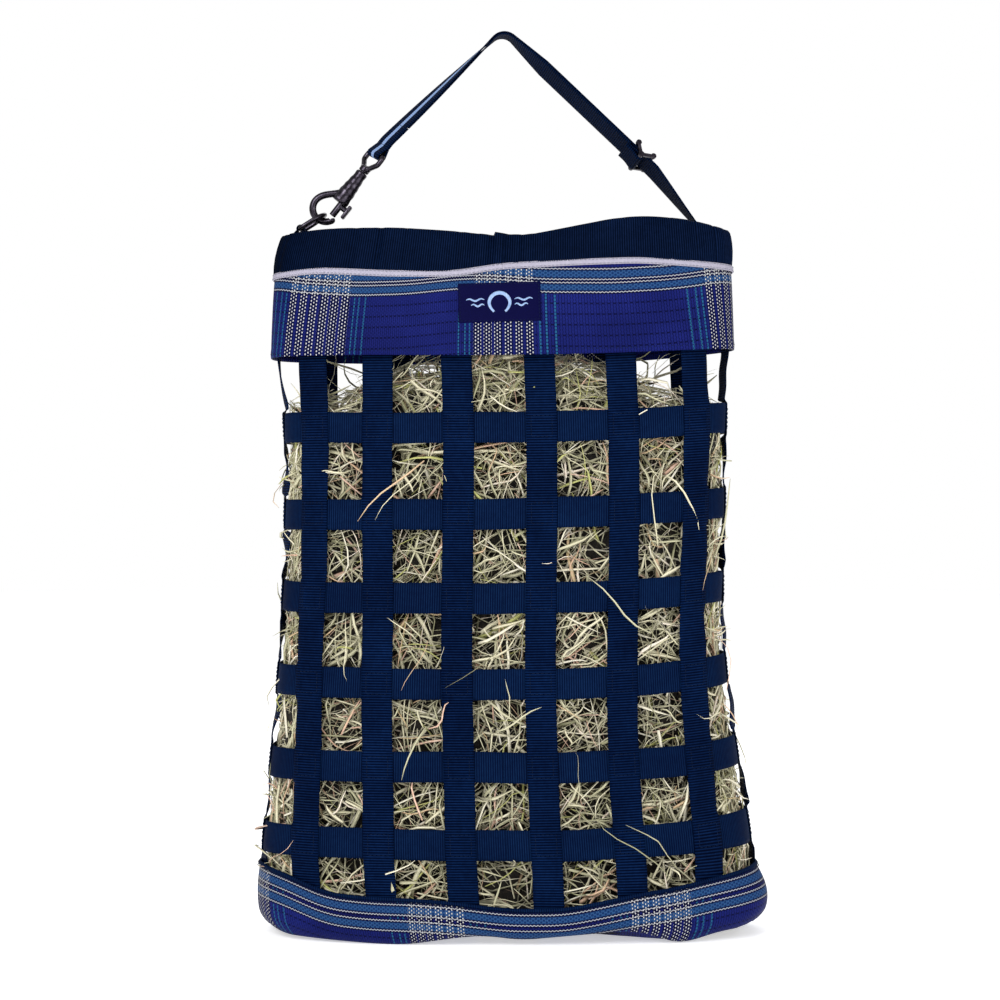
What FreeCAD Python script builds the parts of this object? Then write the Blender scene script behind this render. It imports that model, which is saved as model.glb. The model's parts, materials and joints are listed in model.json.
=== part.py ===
"""Hay net: a stuffed bag of sewn webbing with two plaid mesh bands, a gathered hem and a clip-on hanger.

Millimetres. +X is to the right seen from the front, -Y is the front, +Z is up.
The origin is the middle of the base, on the floor.
"""

import FreeCAD, Part
import math
import os
from FreeCAD import Matrix, Vector

# ---- webbing and sheet ----
WEB_WIDTH = 25.4            # one-inch webbing
WEB_THICK = 1.3
MESH_THICK = 1.0            # woven vinyl mesh
LAYER_GAP = 0.3             # between two sewn layers
STRAP_COUNT = 14            # uprights around the bag
STRAP_BOTTOM = 16.0         # uprights are sewn in behind the lower band
STRAP_TOP = 500.0           # and behind the upper band

# how far the loaded front uprights stand from their even places, at the foot and at the top
UPRIGHT_DRIFT = {1: (-3.5, -1.6), 2: (-5.5, 2.5), 3: (-10.0, 1.0),
                 12: (9.0, -1.0), 13: (0.0, -9.5), 14: (-1.5, -7.8)}

# ---- heights ----
ROW_MIDDLES = [83.0, 146.6, 215.3, 285.1, 355.0, 426.6]   # middle of each level strap, from the bottom up
BAND_LOW = 485.5            # upper band
BAND_HIGH = 553.8
TRIM_LOW = 554.0
TRIM_HIGH = 559.0
HEM_LOW = 559.2
HEM_HIGH = 592.0
LOWER_BAND_MIDDLE = 32.0    # top edge of the lower band at the middle of the front
LOWER_BAND_END = 57.0       # and at the two ends
BINDING_HEIGHT = 7.0

# ---- the bag's plan at several heights: height, half width, half depth, sideways shift ----
PROFILE = [
    (0.0, 206.0, 74.0, 3.0),
    (30.0, 210.0, 81.0, 2.0),
    (83.0, 204.0, 82.0, -1.0),
    (146.6, 196.0, 82.0, -3.0),
    (215.3, 189.0, 82.0, -4.0),
    (285.1, 185.0, 81.0, -3.0),
    (355.0, 185.0, 80.0, -2.0),
    (426.6, 186.0, 76.0, -2.0),
    (486.0, 189.0, 68.0, -4.0),
    (554.0, 189.0, 54.0, -4.0),
    (592.0, 185.0, 48.0, -2.0),
]
PLAN_POWER = 2.8            # the plan is a rounded oblong: a superellipse of this power
PLAN_STEPS = 720            # samples used to measure along the plan

# ---- distances of each layer outside the plan curve ----
LEVEL_OFFSET = 0.0
UPRIGHT_OFFSET = LEVEL_OFFSET + WEB_THICK + LAYER_GAP
BAND_OFFSET = UPRIGHT_OFFSET + WEB_THICK + LAYER_GAP
HEM_OFFSET = 2.0
HEM_THICK = 3.0
BINDING_SWELL = 0.7         # the binding is folded over the band's edge, so it stands proud of it
HAY_CLEARANCE = 3.0

# ---- label on the upper band ----
LABEL_LOW = 513.0
LABEL_HIGH = 546.0
LABEL_WIDTH = 68.0
LABEL_SHIFT = -2.5
LABEL_THICK = 0.8

# ---- hanger: middle line of the strap, in the upright plane through the mouth (x, z) ----
STRAP_EYE = (-111.7, 660.6)     # round the bar of the snap's eye
STRAP_EASE = (-102.5, 672.4)    # where the strap lines up with the snap
STRAP_APEX = (-4.0, 767.0)
STRAP_KINK = (124.0, 645.5)
STRAP_FOOT = (161.5, 599.5)     # lower end of the free strap, just over the anchor
APEX_RADIUS = 12.0
BEND_RADIUS = 30.0
TWIST_EYE = 30.0                # degrees that the strap is turned about its own length
TWIST_RIGHT = -20.0
TWIST_SETTLE = 45.0             # length over which the right leg reaches its twist
STATION_STEP = 6.0
EYE_RETURN = 10.0               # the strap leaves the eye's loop this far up from the bar
EYE_LOOP_GAP = 0.5              # between the eye's wire and the strap round it
EYE_LOOP_START = 70.0           # degrees round the bar where the loop starts
EYE_LOOP_END = 290.0
EYE_LOOP_TURNS = 12
ANCHOR_LOW = 561.0              # the strap's sewn end inside the hem
ANCHOR_HEIGHT = 21.0
ANCHOR_GAP = 1.0

# ---- slider on the right leg ----
SLIDER_FROM_KINK = 17.0         # slider's middle, measured up the leg from the kink
SLIDER_HALF = 8.5               # middle bar to end bar
SLIDER_WIRE = 1.5
SLIDER_RAIL = 1.25              # half thickness of a side rail
SLIDER_SIDE_GAP = 0.7           # between the strap's edge and a rail
SLIDER_STRAP_GAP = 0.45         # between the strap and the end bars over it
SLIDER_LOOP_GAP = 0.25          # between the middle bar and the loop round it
SLIDER_TAIL = 15.0              # sewn tail of that loop
SLIDER_TRAVEL_UP = 60.0
RETURN_END_GAP = 16.0           # the doubled layer ends this far above the slider's highest place

# ---- snap hook: t runs down its length from the middle of the eye, s is across it, to the upper left ----
SNAP_ORIGIN = (-116.6, 654.3)
SNAP_ANGLE = 52.0               # degrees below level, running down to the left
EYE_WIRE = 2.25
EYE_BAR_T = -8.0
EYE_HALF = 16.0                 # middle of the eye to the middle of its side wires
EYE_SHOULDER_T = 0.0            # where the side wires start to draw in
EYE_BASE_T = 7.0
EYE_BASE_HALF = 5.0
POST_RADIUS = 2.0
POST_HEAD_RADIUS = 2.8
RUNNING_GAP = 0.05
BODY_START_T = 11.5
BODY_END_T = 44.0
HOOK_CENTRE = (55.0, 5.7)
HOOK_RADIUS = 11.2
HOOK_WIRE = 3.0
BOLT_S = -2.2
BOLT_RADIUS = 2.9
BOLT_BACK_T = 37.0
BOLT_TIP_T = 56.6
BOLT_STROKE = 8.0
BOLT_BORE_START_T = 24.0
THUMB_T = 46.0
THUMB_STEM = 2.5
SPRING_WIRE = 0.35
SPRING_RADIUS = 2.1
SPRING_TURNS = 3.5

# ---- D-ring and its tab ----
RING_BAR = (-176.0, 596.5)      # middle of the straight bar
RING_END_T = 59.8               # where the round end sits inside the hook
RING_END_S = 3.2
RING_HALF = 13.0
RING_WIRE = 1.9
RING_CORNER = 3.0
TAB_WIDTH = 20.0
TAB_TAIL = 7.0
TAB_GAP = 0.35                  # between the ring's bar and the tab's loop
TAB_ANGLE = 115.0               # the tail runs down and slightly inwards to the hem


# ---------------------------------------------------------------- plan of the bag

def blended(values, share):
    """Smooth (Catmull-Rom) value between the middle two of four."""
    a, b, c, d = values
    return b + 0.5 * share * (c - a + share * (2 * a - 5 * b + 4 * c - d + share * (3 * (b - c) + d - a)))


def plan_sizes(z):
    """Half width, half depth and sideways shift of the bag's plan at height z."""
    z = min(max(z, PROFILE[0][0]), PROFILE[-1][0])
    i = 0
    while i < len(PROFILE) - 2 and z > PROFILE[i + 1][0]:
        i += 1
    rows = [PROFILE[max(i - 1, 0)], PROFILE[i], PROFILE[i + 1], PROFILE[min(i + 2, len(PROFILE) - 1)]]
    share = (z - rows[1][0]) / (rows[2][0] - rows[1][0])
    return [blended([row[k] for row in rows], share) for k in (1, 2, 3)]


def oblong(half_width, half_depth, angle):
    """Point of a superellipse at an angle, as (x, y)."""
    c, s = math.cos(angle), math.sin(angle)
    power = 2.0 / PLAN_POWER
    return (half_width * math.copysign(abs(c) ** power, c), half_depth * math.copysign(abs(s) ** power, s))


class Plan:
    """The closed plan curve at one height, measured by its length from the middle of the front."""

    def __init__(self, z):
        self.z = z
        half_width, half_depth, self.shift = plan_sizes(z)
        self.points = []
        for i in range(PLAN_STEPS + 1):
            angle = -math.pi / 2 + 2 * math.pi * i / PLAN_STEPS
            self.points.append(oblong(half_width, half_depth, angle))
        self.lengths = [0.0]
        for a, b in zip(self.points, self.points[1:]):
            self.lengths.append(self.lengths[-1] + math.dist(a, b))
        self.total = self.lengths[-1]

    def point(self, length, offset=0.0):
        """The point at a length round from the middle of the front, moved outwards by offset."""
        length %= self.total
        low, high = 0, PLAN_STEPS
        while high - low > 1:
            middle = (low + high) // 2
            if self.lengths[middle] <= length:
                low = middle
            else:
                high = middle
        a, b = self.points[low], self.points[low + 1]
        run = self.lengths[low + 1] - self.lengths[low]
        share = (length - self.lengths[low]) / run
        dx, dy = (b[0] - a[0]) / run, (b[1] - a[1]) / run
        x = a[0] + share * (b[0] - a[0]) + dy * offset
        y = a[1] + share * (b[1] - a[1]) - dx * offset
        return Vector(x + self.shift, y, self.z)


def closed_curve(plan, offset, count=56):
    """A smooth closed wire round the bag at one height."""
    points = [plan.point(plan.total * (i + 0.5) / count, offset) for i in range(count)]
    curve = Part.BSplineCurve()
    curve.interpolate(Points=points, PeriodicFlag=True)
    return Part.Wire([curve.toShape()])


def tube(heights, inner_offset, thickness):
    """A closed band round the bag through the given heights."""
    plans = [Plan(z) for z in heights]
    outer = Part.makeLoft([closed_curve(p, inner_offset + thickness) for p in plans], True, True)
    inner = Part.makeLoft([closed_curve(p, inner_offset) for p in plans], True, True)
    return outer.cut(inner)


def open_curve(points):
    curve = Part.BSplineCurve()
    curve.interpolate(points)
    return curve.toShape()


def patch_section(plan, start, end, offset, thickness, count=5):
    """Cross-section of a strip that lies on the bag between two lengths round the plan."""
    lengths = [start + (end - start) * i / (count - 1) for i in range(count)]
    inner = [plan.point(length, offset) for length in lengths]
    outer = [plan.point(length, offset + thickness) for length in lengths]
    return Part.Wire([
        open_curve(inner),
        Part.makeLine(inner[-1], outer[-1]),
        open_curve(outer[::-1]),
        Part.makeLine(outer[0], inner[0]),
    ])


# ---------------------------------------------------------------- soft pieces of the bag

def row_edges():
    """Heights of the lower and upper edge of each level strap."""
    return [(z - WEB_WIDTH / 2, z + WEB_WIDTH / 2) for z in ROW_MIDDLES]


def level_strap(index):
    low, high = row_edges()[index]
    return tube([low, high], LEVEL_OFFSET, WEB_THICK)


def upright_strap(index):
    """One of the uprights: a strip that follows the bag from band to band."""
    heights = [STRAP_BOTTOM, 30.0]
    for low, high in row_edges():
        heights += [low, high]
    heights += [BAND_LOW, STRAP_TOP]
    foot_drift, top_drift = UPRIGHT_DRIFT.get(index + 1, (0.0, 0.0))
    sections = []
    for z in heights:
        plan = Plan(z)
        middle = plan.total * (index + 0.5) / STRAP_COUNT
        middle += foot_drift + (top_drift - foot_drift) * z / STRAP_TOP
        sections.append(patch_section(plan, middle - WEB_WIDTH / 2, middle + WEB_WIDTH / 2,
                                      UPRIGHT_OFFSET, WEB_THICK))
    return Part.makeLoft(sections, True, True)


def band_top(x, drop=0.0):
    """Height of the lower band's top edge: it dips in the middle of the front and back."""
    return LOWER_BAND_MIDDLE + (LOWER_BAND_END - LOWER_BAND_MIDDLE) * (abs(x) / 210.0) ** 2 - drop


def above_dip(drop):
    """Everything above the dipped line, which cuts the lower band and its binding to shape."""
    reach, depth, high = 240.0, 130.0, 120.0
    xs = [reach * (i / 6.0 - 1.0) for i in range(13)]
    points = [Vector(x, -depth, band_top(x, drop)) for x in xs]
    top = [Vector(reach, -depth, high), Vector(-reach, -depth, high)]
    outline = Part.Wire([
        open_curve(points),
        Part.makeLine(points[-1], top[0]),
        Part.makeLine(top[0], top[1]),
        Part.makeLine(top[1], points[0]),
    ])
    return Part.Face(outline).extrude(Vector(0, 2 * depth, 0))


def lower_mesh_band():
    full = tube([0.0, 15.0, 30.0, 55.0, 70.0], BAND_OFFSET, MESH_THICK)
    return full.cut(above_dip(BINDING_HEIGHT + 0.1))


def base_binding():
    """Folded tape over the lower band's top edge."""
    full = tube([15.0, 30.0, 55.0, 70.0], BAND_OFFSET, MESH_THICK + BINDING_SWELL)
    return full.cut(above_dip(0.0)).common(above_dip(BINDING_HEIGHT))


def base_panel():
    outline = closed_curve(Plan(0.0), BAND_OFFSET - LAYER_GAP)
    return Part.Face(outline).extrude(Vector(0, 0, MESH_THICK))


def upper_mesh_band():
    return tube([BAND_LOW, 508.0, 531.0, BAND_HIGH], BAND_OFFSET, MESH_THICK)


def trim_ribbon():
    return tube([TRIM_LOW, TRIM_HIGH], BAND_OFFSET - 0.6, MESH_THICK + 1.6)


def hem_webbing():
    return tube([HEM_LOW, 575.0, HEM_HIGH], HEM_OFFSET, HEM_THICK)


def label_patch():
    offset = BAND_OFFSET + MESH_THICK + LAYER_GAP
    sections = []
    for z in (LABEL_LOW, 531.0, LABEL_HIGH):
        plan = Plan(z)
        sections.append(patch_section(plan, LABEL_SHIFT - LABEL_WIDTH / 2, LABEL_SHIFT + LABEL_WIDTH / 2,
                                      offset, LABEL_THICK))
    return Part.makeLoft(sections, True, True)


def hay_fill():
    """The hay as one lump that fills the bag and domes under the mouth."""
    heights = [MESH_THICK + 1.0, 30.0, 83.0, 146.0, 215.0, 285.0, 355.0, 427.0]
    sections = [closed_curve(Plan(z), -HAY_CLEARANCE, 40) for z in heights]
    for z, inset in ((455.0, 20.0), (475.0, 42.0)):
        sections.append(closed_curve(Plan(z), -inset, 40))
    return Part.makeLoft(sections, True, True)


# ---------------------------------------------------------------- the hanger's line

def unit(x, z):
    size = math.hypot(x, z)
    return x / size, z / size


def rounded_line(corners, radii):
    """Points along a bent line (x, z) whose inner corners are rounded."""
    points = [corners[0]]
    for before, corner, after, radius in zip(corners, corners[1:], corners[2:], radii):
        ax, az = unit(before[0] - corner[0], before[1] - corner[1])
        bx, bz = unit(after[0] - corner[0], after[1] - corner[1])
        half = math.acos(ax * bx + az * bz) / 2
        reach = radius / math.tan(half)
        mx, mz = unit(ax + bx, az + bz)
        centre = (corner[0] + mx * radius / math.sin(half), corner[1] + mz * radius / math.sin(half))
        start = (corner[0] + ax * reach, corner[1] + az * reach)
        end = (corner[0] + bx * reach, corner[1] + bz * reach)
        a0 = math.atan2(start[1] - centre[1], start[0] - centre[0])
        a1 = math.atan2(end[1] - centre[1], end[0] - centre[0])
        turn = (a1 - a0 + math.pi) % (2 * math.pi) - math.pi
        steps = 8
        for i in range(steps + 1):
            angle = a0 + turn * i / steps
            points.append((centre[0] + radius * math.cos(angle), centre[1] + radius * math.sin(angle)))
    points.append(corners[-1])
    return points


class HangerLine:
    """The strap's middle line with its direction, outward normal and width direction at each length."""

    def __init__(self):
        corners = [STRAP_EYE, STRAP_EASE, STRAP_APEX, STRAP_KINK, STRAP_FOOT]
        self.points = rounded_line(corners, [BEND_RADIUS, APEX_RADIUS, BEND_RADIUS])
        self.lengths = [0.0]
        for a, b in zip(self.points, self.points[1:]):
            self.lengths.append(self.lengths[-1] + math.dist(a, b))
        self.total = self.lengths[-1]
        self.apex = self.nearest(STRAP_APEX)
        self.kink = self.nearest(STRAP_KINK)
        self.slider = self.kink - SLIDER_FROM_KINK

    def nearest(self, target):
        distances = [math.dist(p, target) for p in self.points]
        return self.lengths[distances.index(min(distances))]

    def place(self, length):
        i = 0
        while i < len(self.points) - 2 and self.lengths[i + 1] < length:
            i += 1
        a, b = self.points[i], self.points[i + 1]
        share = (length - self.lengths[i]) / (self.lengths[i + 1] - self.lengths[i])
        return a[0] + share * (b[0] - a[0]), a[1] + share * (b[1] - a[1])

    def twist(self, length):
        """Degrees of turn about the line: one way at the eye, the other way down the right leg."""
        if length < self.apex:
            return TWIST_EYE * (1 - length / self.apex)
        if length < self.kink:
            return TWIST_RIGHT * min((length - self.apex) / TWIST_SETTLE, 1.0)
        return TWIST_RIGHT * (1 - (length - self.kink) / (self.total - self.kink))

    def frame(self, length):
        """Centre, direction, outward normal and width direction."""
        step = 0.5
        x0, z0 = self.place(max(length - step, 0))
        x1, z1 = self.place(min(length + step, self.total))
        dx, dz = unit(x1 - x0, z1 - z0)
        along = Vector(dx, 0, dz)
        outward = Vector(-dz, 0, dx)
        turn = math.radians(self.twist(length))
        normal = outward * math.cos(turn) + along.cross(outward) * math.sin(turn)
        x, z = self.place(length)
        return Vector(x, 0, z), along, normal, along.cross(normal)


LINE = HangerLine()


def strip_section(centre, normal, width_way, width, thickness):
    """Rectangle across a strip."""
    half_w = width_way * (width / 2)
    half_n = normal * (thickness / 2)
    corners = [centre + half_w + half_n, centre - half_w + half_n,
               centre - half_w - half_n, centre + half_w - half_n]
    return Part.makePolygon(corners + corners[:1])


LAYER_LIFT = (WEB_THICK + LAYER_GAP) / 2


def layer(start, end, side):
    """Sections of one layer between two lengths: the outer layer has side 1, the returning one side -1."""
    count = max(2, int(abs(end - start) / STATION_STEP) + 1)
    sections = []
    for i in range(count + 1):
        centre, _, normal, across = LINE.frame(start + (end - start) * i / count)
        outward = normal * side
        sections.append(strip_section(centre + outward * LAYER_LIFT, outward, across, WEB_WIDTH, WEB_THICK))
    return sections


def eye_loop():
    """Sections of the strap where it goes round the bar of the snap's eye."""
    centre, along, normal, across = LINE.frame(0.0)
    radius = EYE_WIRE + EYE_LOOP_GAP + WEB_THICK / 2
    sections = []
    for i in range(EYE_LOOP_TURNS + 1):
        angle = math.radians(EYE_LOOP_START + (EYE_LOOP_END - EYE_LOOP_START) * i / EYE_LOOP_TURNS)
        out = along * math.cos(angle) + normal * math.sin(angle)
        sections.append(strip_section(centre + out * radius, out, across, WEB_WIDTH, WEB_THICK))
    return sections


def hanger_strap():
    """Outer layer from the foot to the eye, round its bar, and back over the apex as the inner layer."""
    outer = layer(LINE.total, EYE_RETURN, 1)
    inner = layer(EYE_RETURN, LINE.slider - SLIDER_TRAVEL_UP - RETURN_END_GAP, -1)
    return Part.makeLoft(outer + eye_loop() + inner, True, True)


def strap_anchor():
    """The strap's sewn end, flat against the inside of the hem at the right."""
    plan = Plan(ANCHOR_LOW + ANCHOR_HEIGHT / 2)
    quarter = plan.total / 4
    edges = [plan.point(quarter + side * WEB_WIDTH / 2, HEM_OFFSET).x for side in (-1, 0, 1)]
    left = min(edges) - ANCHOR_GAP - WEB_THICK
    return Part.makeBox(WEB_THICK, WEB_WIDTH, ANCHOR_HEIGHT, Vector(left, -WEB_WIDTH / 2, ANCHOR_LOW))


# ---------------------------------------------------------------- slider

def local_to(origin, x_way, y_way, z_way):
    """Matrix from a local frame to the bag's frame."""
    return Matrix(x_way.x, y_way.x, z_way.x, origin.x,
                  x_way.y, y_way.y, z_way.y, origin.y,
                  x_way.z, y_way.z, z_way.z, origin.z,
                  0, 0, 0, 1)


def placed(shape, matrix):
    moved = shape.copy()
    moved.Placement = FreeCAD.Placement(matrix).multiply(moved.Placement)
    return moved


def slider_matrix():
    """Local x runs down the leg, y is across the strap and z is outwards."""
    centre, along, normal, across = LINE.frame(LINE.slider)
    return local_to(centre, along, across * -1, normal)


SLIDER_END_Z = LAYER_LIFT + WEB_THICK / 2 + SLIDER_STRAP_GAP + SLIDER_WIRE
SLIDER_MIDDLE_Z = -(WEB_THICK + 2 * LAYER_GAP + SLIDER_WIRE)


def rail_plate():
    """A side rail's bent bar, which dips from each end bar to the middle one."""
    high, low = SLIDER_END_Z, SLIDER_MIDDLE_Z
    corners = [(-SLIDER_HALF, high + 1.6), (0.0, low + 1.8), (SLIDER_HALF, high + 1.6),
               (SLIDER_HALF, high - 1.8), (0.0, low - 1.8), (-SLIDER_HALF, high - 1.8)]
    points = [Vector(x, 0, z) for x, z in corners]
    return Part.Face(Part.makePolygon(points + points[:1])).extrude(Vector(0, 2 * SLIDER_RAIL, 0))


def side_rail():
    """A side rail: the bent bar with a rounded lobe at each of the three cross bars."""
    rail = rail_plate()
    for x, z in ((-SLIDER_HALF, SLIDER_END_Z), (0.0, SLIDER_MIDDLE_Z), (SLIDER_HALF, SLIDER_END_Z)):
        rail = rail.fuse(Part.makeCylinder(2.4, 2 * SLIDER_RAIL, Vector(x, 0, z), Vector(0, 1, 0)))
    return rail


def slider_frame():
    """Three cross bars between two scalloped side rails: the strap runs under the end bars."""
    rail_y = WEB_WIDTH / 2 + SLIDER_SIDE_GAP + SLIDER_RAIL
    left = side_rail()
    left.translate(Vector(0, -rail_y - SLIDER_RAIL, 0))
    right = side_rail()
    right.translate(Vector(0, rail_y - SLIDER_RAIL, 0))
    shape = left
    for x, z in ((-SLIDER_HALF, SLIDER_END_Z), (0.0, SLIDER_MIDDLE_Z), (SLIDER_HALF, SLIDER_END_Z)):
        bar = Part.makeCylinder(SLIDER_WIRE, 2 * rail_y, Vector(x, -rail_y, z), Vector(0, 1, 0))
        shape = shape.fuse(bar)
    return placed(shape.fuse(right).removeSplitter(), slider_matrix())


def slider_loop():
    """The doubled layer's end, sewn round the slider's middle bar."""
    inner = SLIDER_WIRE + SLIDER_LOOP_GAP
    outer = inner + WEB_THICK * 0.9
    start = Vector(0, -WEB_WIDTH / 2, SLIDER_MIDDLE_Z)
    ring = Part.makeCylinder(outer, WEB_WIDTH, start, Vector(0, 1, 0))
    tail_low = SLIDER_MIDDLE_Z - outer + 1.4
    tail = Part.makeBox(SLIDER_TAIL, WEB_WIDTH, 2 * WEB_THICK, Vector(-SLIDER_TAIL, -WEB_WIDTH / 2, tail_low))
    hole = Part.makeCylinder(inner, WEB_WIDTH, start, Vector(0, 1, 0))
    return placed(ring.fuse(tail).cut(hole).removeSplitter(), slider_matrix())


# ---------------------------------------------------------------- snap hook

def snap_matrix():
    """Local x is t, down the snap's length; local z is s, across it in the hanger's plane."""
    angle = math.radians(SNAP_ANGLE)
    down = Vector(-math.cos(angle), 0, -math.sin(angle))
    up_left = Vector(-math.sin(angle), 0, math.cos(angle))
    origin = Vector(SNAP_ORIGIN[0], 0, SNAP_ORIGIN[1])
    return local_to(origin, down, up_left.cross(down), up_left)


def swept_wire(path, radius, start, direction):
    """A round bar along a path."""
    circle = Part.Wire([Part.makeCircle(radius, start, direction)])
    return path.makePipeShell([circle], True, False)


def rounded_loop(corners, radius):
    """A closed wire through corners (x, y) in the local xy plane, each corner rounded."""
    count = len(corners)
    middles = []
    for i in range(count):
        a, b = Vector(*corners[i], 0), Vector(*corners[(i + 1) % count], 0)
        middles.append((a + b) * 0.5)
    edges = []
    for i in range(count):
        corner = Vector(*corners[i], 0)
        before, after = middles[i - 1], middles[i]
        ins, outs = (before - corner).normalize(), (after - corner).normalize()
        half = ins.getAngle(outs) / 2
        reach = radius / math.tan(half)
        start, end = corner + ins * reach, corner + outs * reach
        centre = corner + (ins + outs).normalize() * (radius / math.sin(half))
        middle = centre + (corner - centre).normalize() * radius
        edges.append(Part.makeLine(before, start))
        edges.append(Part.Arc(start, middle, end).toShape())
        edges.append(Part.makeLine(end, after))
    return Part.Wire(edges), middles[-1], (Vector(*corners[0], 0) - middles[-1])


def snap_eye_local():
    """Wire eye that carries the strap, its base, and the swivel post with its peened head."""
    corners = [(EYE_BAR_T, -EYE_HALF), (EYE_BAR_T, EYE_HALF), (EYE_SHOULDER_T, EYE_HALF),
               (EYE_BASE_T, EYE_BASE_HALF), (EYE_BASE_T, -EYE_BASE_HALF), (EYE_SHOULDER_T, -EYE_HALF)]
    loop, start, direction = rounded_loop(corners, 3.0)
    eye = swept_wire(loop, EYE_WIRE, start, direction)
    base = Part.makeCylinder(4.6, 5.0, Vector(EYE_BASE_T - 1.0, 0, 0), Vector(1, 0, 0))
    base = base.makeFillet(1.0, base.Edges)
    post = Part.makeCylinder(POST_RADIUS, 14.0, Vector(EYE_BASE_T, 0, 0), Vector(1, 0, 0))
    head = Part.makeCylinder(POST_HEAD_RADIUS, 2.0, Vector(20.6, 0, 0), Vector(1, 0, 0))
    shape = eye.fuse(base).fuse(post).fuse(head)
    for side in (-1, 1):
        shape = shape.fuse(Part.makeSphere(2.9, Vector(EYE_BASE_T, side * EYE_BASE_HALF, 0)))
    shape = shape.removeSplitter()
    shape.rotate(Vector(0, 0, 0), Vector(1, 0, 0), -TWIST_EYE)
    return shape


def snap_casting_local():
    """Tapered, ridged body with the hook cast on, bored for the post, the bolt and the thumb slot."""
    outline = [(BODY_START_T, 4.4), (13.2, 5.2), (15.5, 5.0), (18.0, 5.1), (21.5, 5.72), (23.0, 5.66),
               (27.5, 6.4), (29.0, 6.33), (33.5, 7.05), (35.0, 6.98), (40.0, 7.55), (43.0, 7.45), (BODY_END_T, 6.6)]
    smooth = open_curve([Vector(t, 0, r) for t, r in outline])
    first, last = Vector(BODY_START_T, 0, 0), Vector(BODY_END_T, 0, 0)
    edges = [Part.makeLine(first, first + Vector(0, 0, outline[0][1])), smooth,
             Part.makeLine(last + Vector(0, 0, outline[-1][1]), last), Part.makeLine(last, first)]
    body = Part.Face(Part.Wire(edges)).revolve(Vector(0, 0, 0), Vector(1, 0, 0), 360)
    hook_points = [Vector(33.0, 0, 2.0), Vector(40.0, 0, 7.4)]
    for degrees in (118, 90, 60, 30, 0, -30, -64):
        angle = math.radians(degrees)
        hook_points.append(Vector(HOOK_CENTRE[0] + HOOK_RADIUS * math.cos(angle), 0,
                                  HOOK_CENTRE[1] + HOOK_RADIUS * math.sin(angle)))
    spine = open_curve(hook_points)
    hook = swept_wire(Part.Wire([spine]), HOOK_WIRE, hook_points[0], spine.tangentAt(spine.FirstParameter))
    tip = Part.makeSphere(HOOK_WIRE, hook_points[-1])
    shape = body.fuse(hook).fuse(tip)
    along = Vector(1, 0, 0)
    post_bore = Part.makeCylinder(POST_RADIUS + RUNNING_GAP, 10.0, Vector(BODY_START_T - 1, 0, 0), along)
    head_room = Part.makeCylinder(POST_HEAD_RADIUS + 0.1, 3.4, Vector(20.3, 0, 0), along)
    bolt_bore = Part.makeCylinder(BOLT_RADIUS + RUNNING_GAP, BODY_END_T + 16.0 - BOLT_BORE_START_T,
                                  Vector(BOLT_BORE_START_T, 0, BOLT_S), along)
    slot_start = THUMB_T - BOLT_STROKE - THUMB_STEM - 0.4
    slot = Part.makeBox(BODY_END_T - slot_start + 1, 2 * THUMB_STEM + 0.5, 14.0,
                        Vector(slot_start, -THUMB_STEM - 0.25, BOLT_S - 14.0))
    for cutter in (post_bore, head_room, bolt_bore, slot):
        shape = shape.cut(cutter)
    return shape.removeSplitter()


def snap_bolt_local():
    """Spring bolt with its stem and thumb plate."""
    start = Vector(BOLT_BACK_T, 0, BOLT_S)
    bolt = Part.makeCylinder(BOLT_RADIUS, BOLT_TIP_T - BOLT_BACK_T, start, Vector(1, 0, 0))
    bolt = bolt.makeChamfer(0.5, [bolt.Edges[0], bolt.Edges[2]])
    stem = Part.makeCylinder(THUMB_STEM, 8.0, Vector(THUMB_T, 0, BOLT_S), Vector(0, 0, -1))
    plate = Part.makeBox(13.0, 8.0, 3.2, Vector(THUMB_T - 5.5, -4.0, BOLT_S - 9.6))
    plate = plate.makeFillet(1.2, plate.Edges)
    return bolt.fuse(stem).fuse(plate).removeSplitter()


def bolt_spring_local():
    """Coil spring behind the bolt."""
    room = BOLT_BACK_T - BOLT_BORE_START_T - 1.2
    helix = Part.makeHelix(room / SPRING_TURNS, room - 2 * SPRING_WIRE, SPRING_RADIUS)
    start = Vector(SPRING_RADIUS, 0, 0)
    coil = swept_wire(Part.Wire(helix.Edges), SPRING_WIRE, start, Vector(0, 1, 0.25))
    begin = Vector(BOLT_BORE_START_T + 0.6 + SPRING_WIRE, 0, BOLT_S)
    return placed(coil, local_to(begin, Vector(0, 1, 0), Vector(0, 0, 1), Vector(1, 0, 0)))


# ---------------------------------------------------------------- D-ring and tab

def ring_matrix():
    """Local x runs from the ring's bar to its round end, local y is along the bar."""
    hook = snap_matrix().multiply(Vector(RING_END_T, 0, RING_END_S))
    bar = Vector(RING_BAR[0], 0, RING_BAR[1])
    along = (hook - bar).normalize()
    return local_to(bar, along, Vector(0, 1, 0), along.cross(Vector(0, 1, 0))), (hook - bar).Length


def ring_corner(side):
    """Quarter turn between the straight bar and a leg of the ring; side is 1 or -1."""
    half_turn = RING_CORNER * (1 - math.cos(math.pi / 4))
    on_bar = Vector(0, side * (RING_HALF - RING_CORNER), 0)
    middle = Vector(half_turn, side * (RING_HALF - half_turn), 0)
    on_leg = Vector(RING_CORNER, side * RING_HALF, 0)
    return Part.Arc(on_bar, middle, on_leg).toShape()


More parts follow.
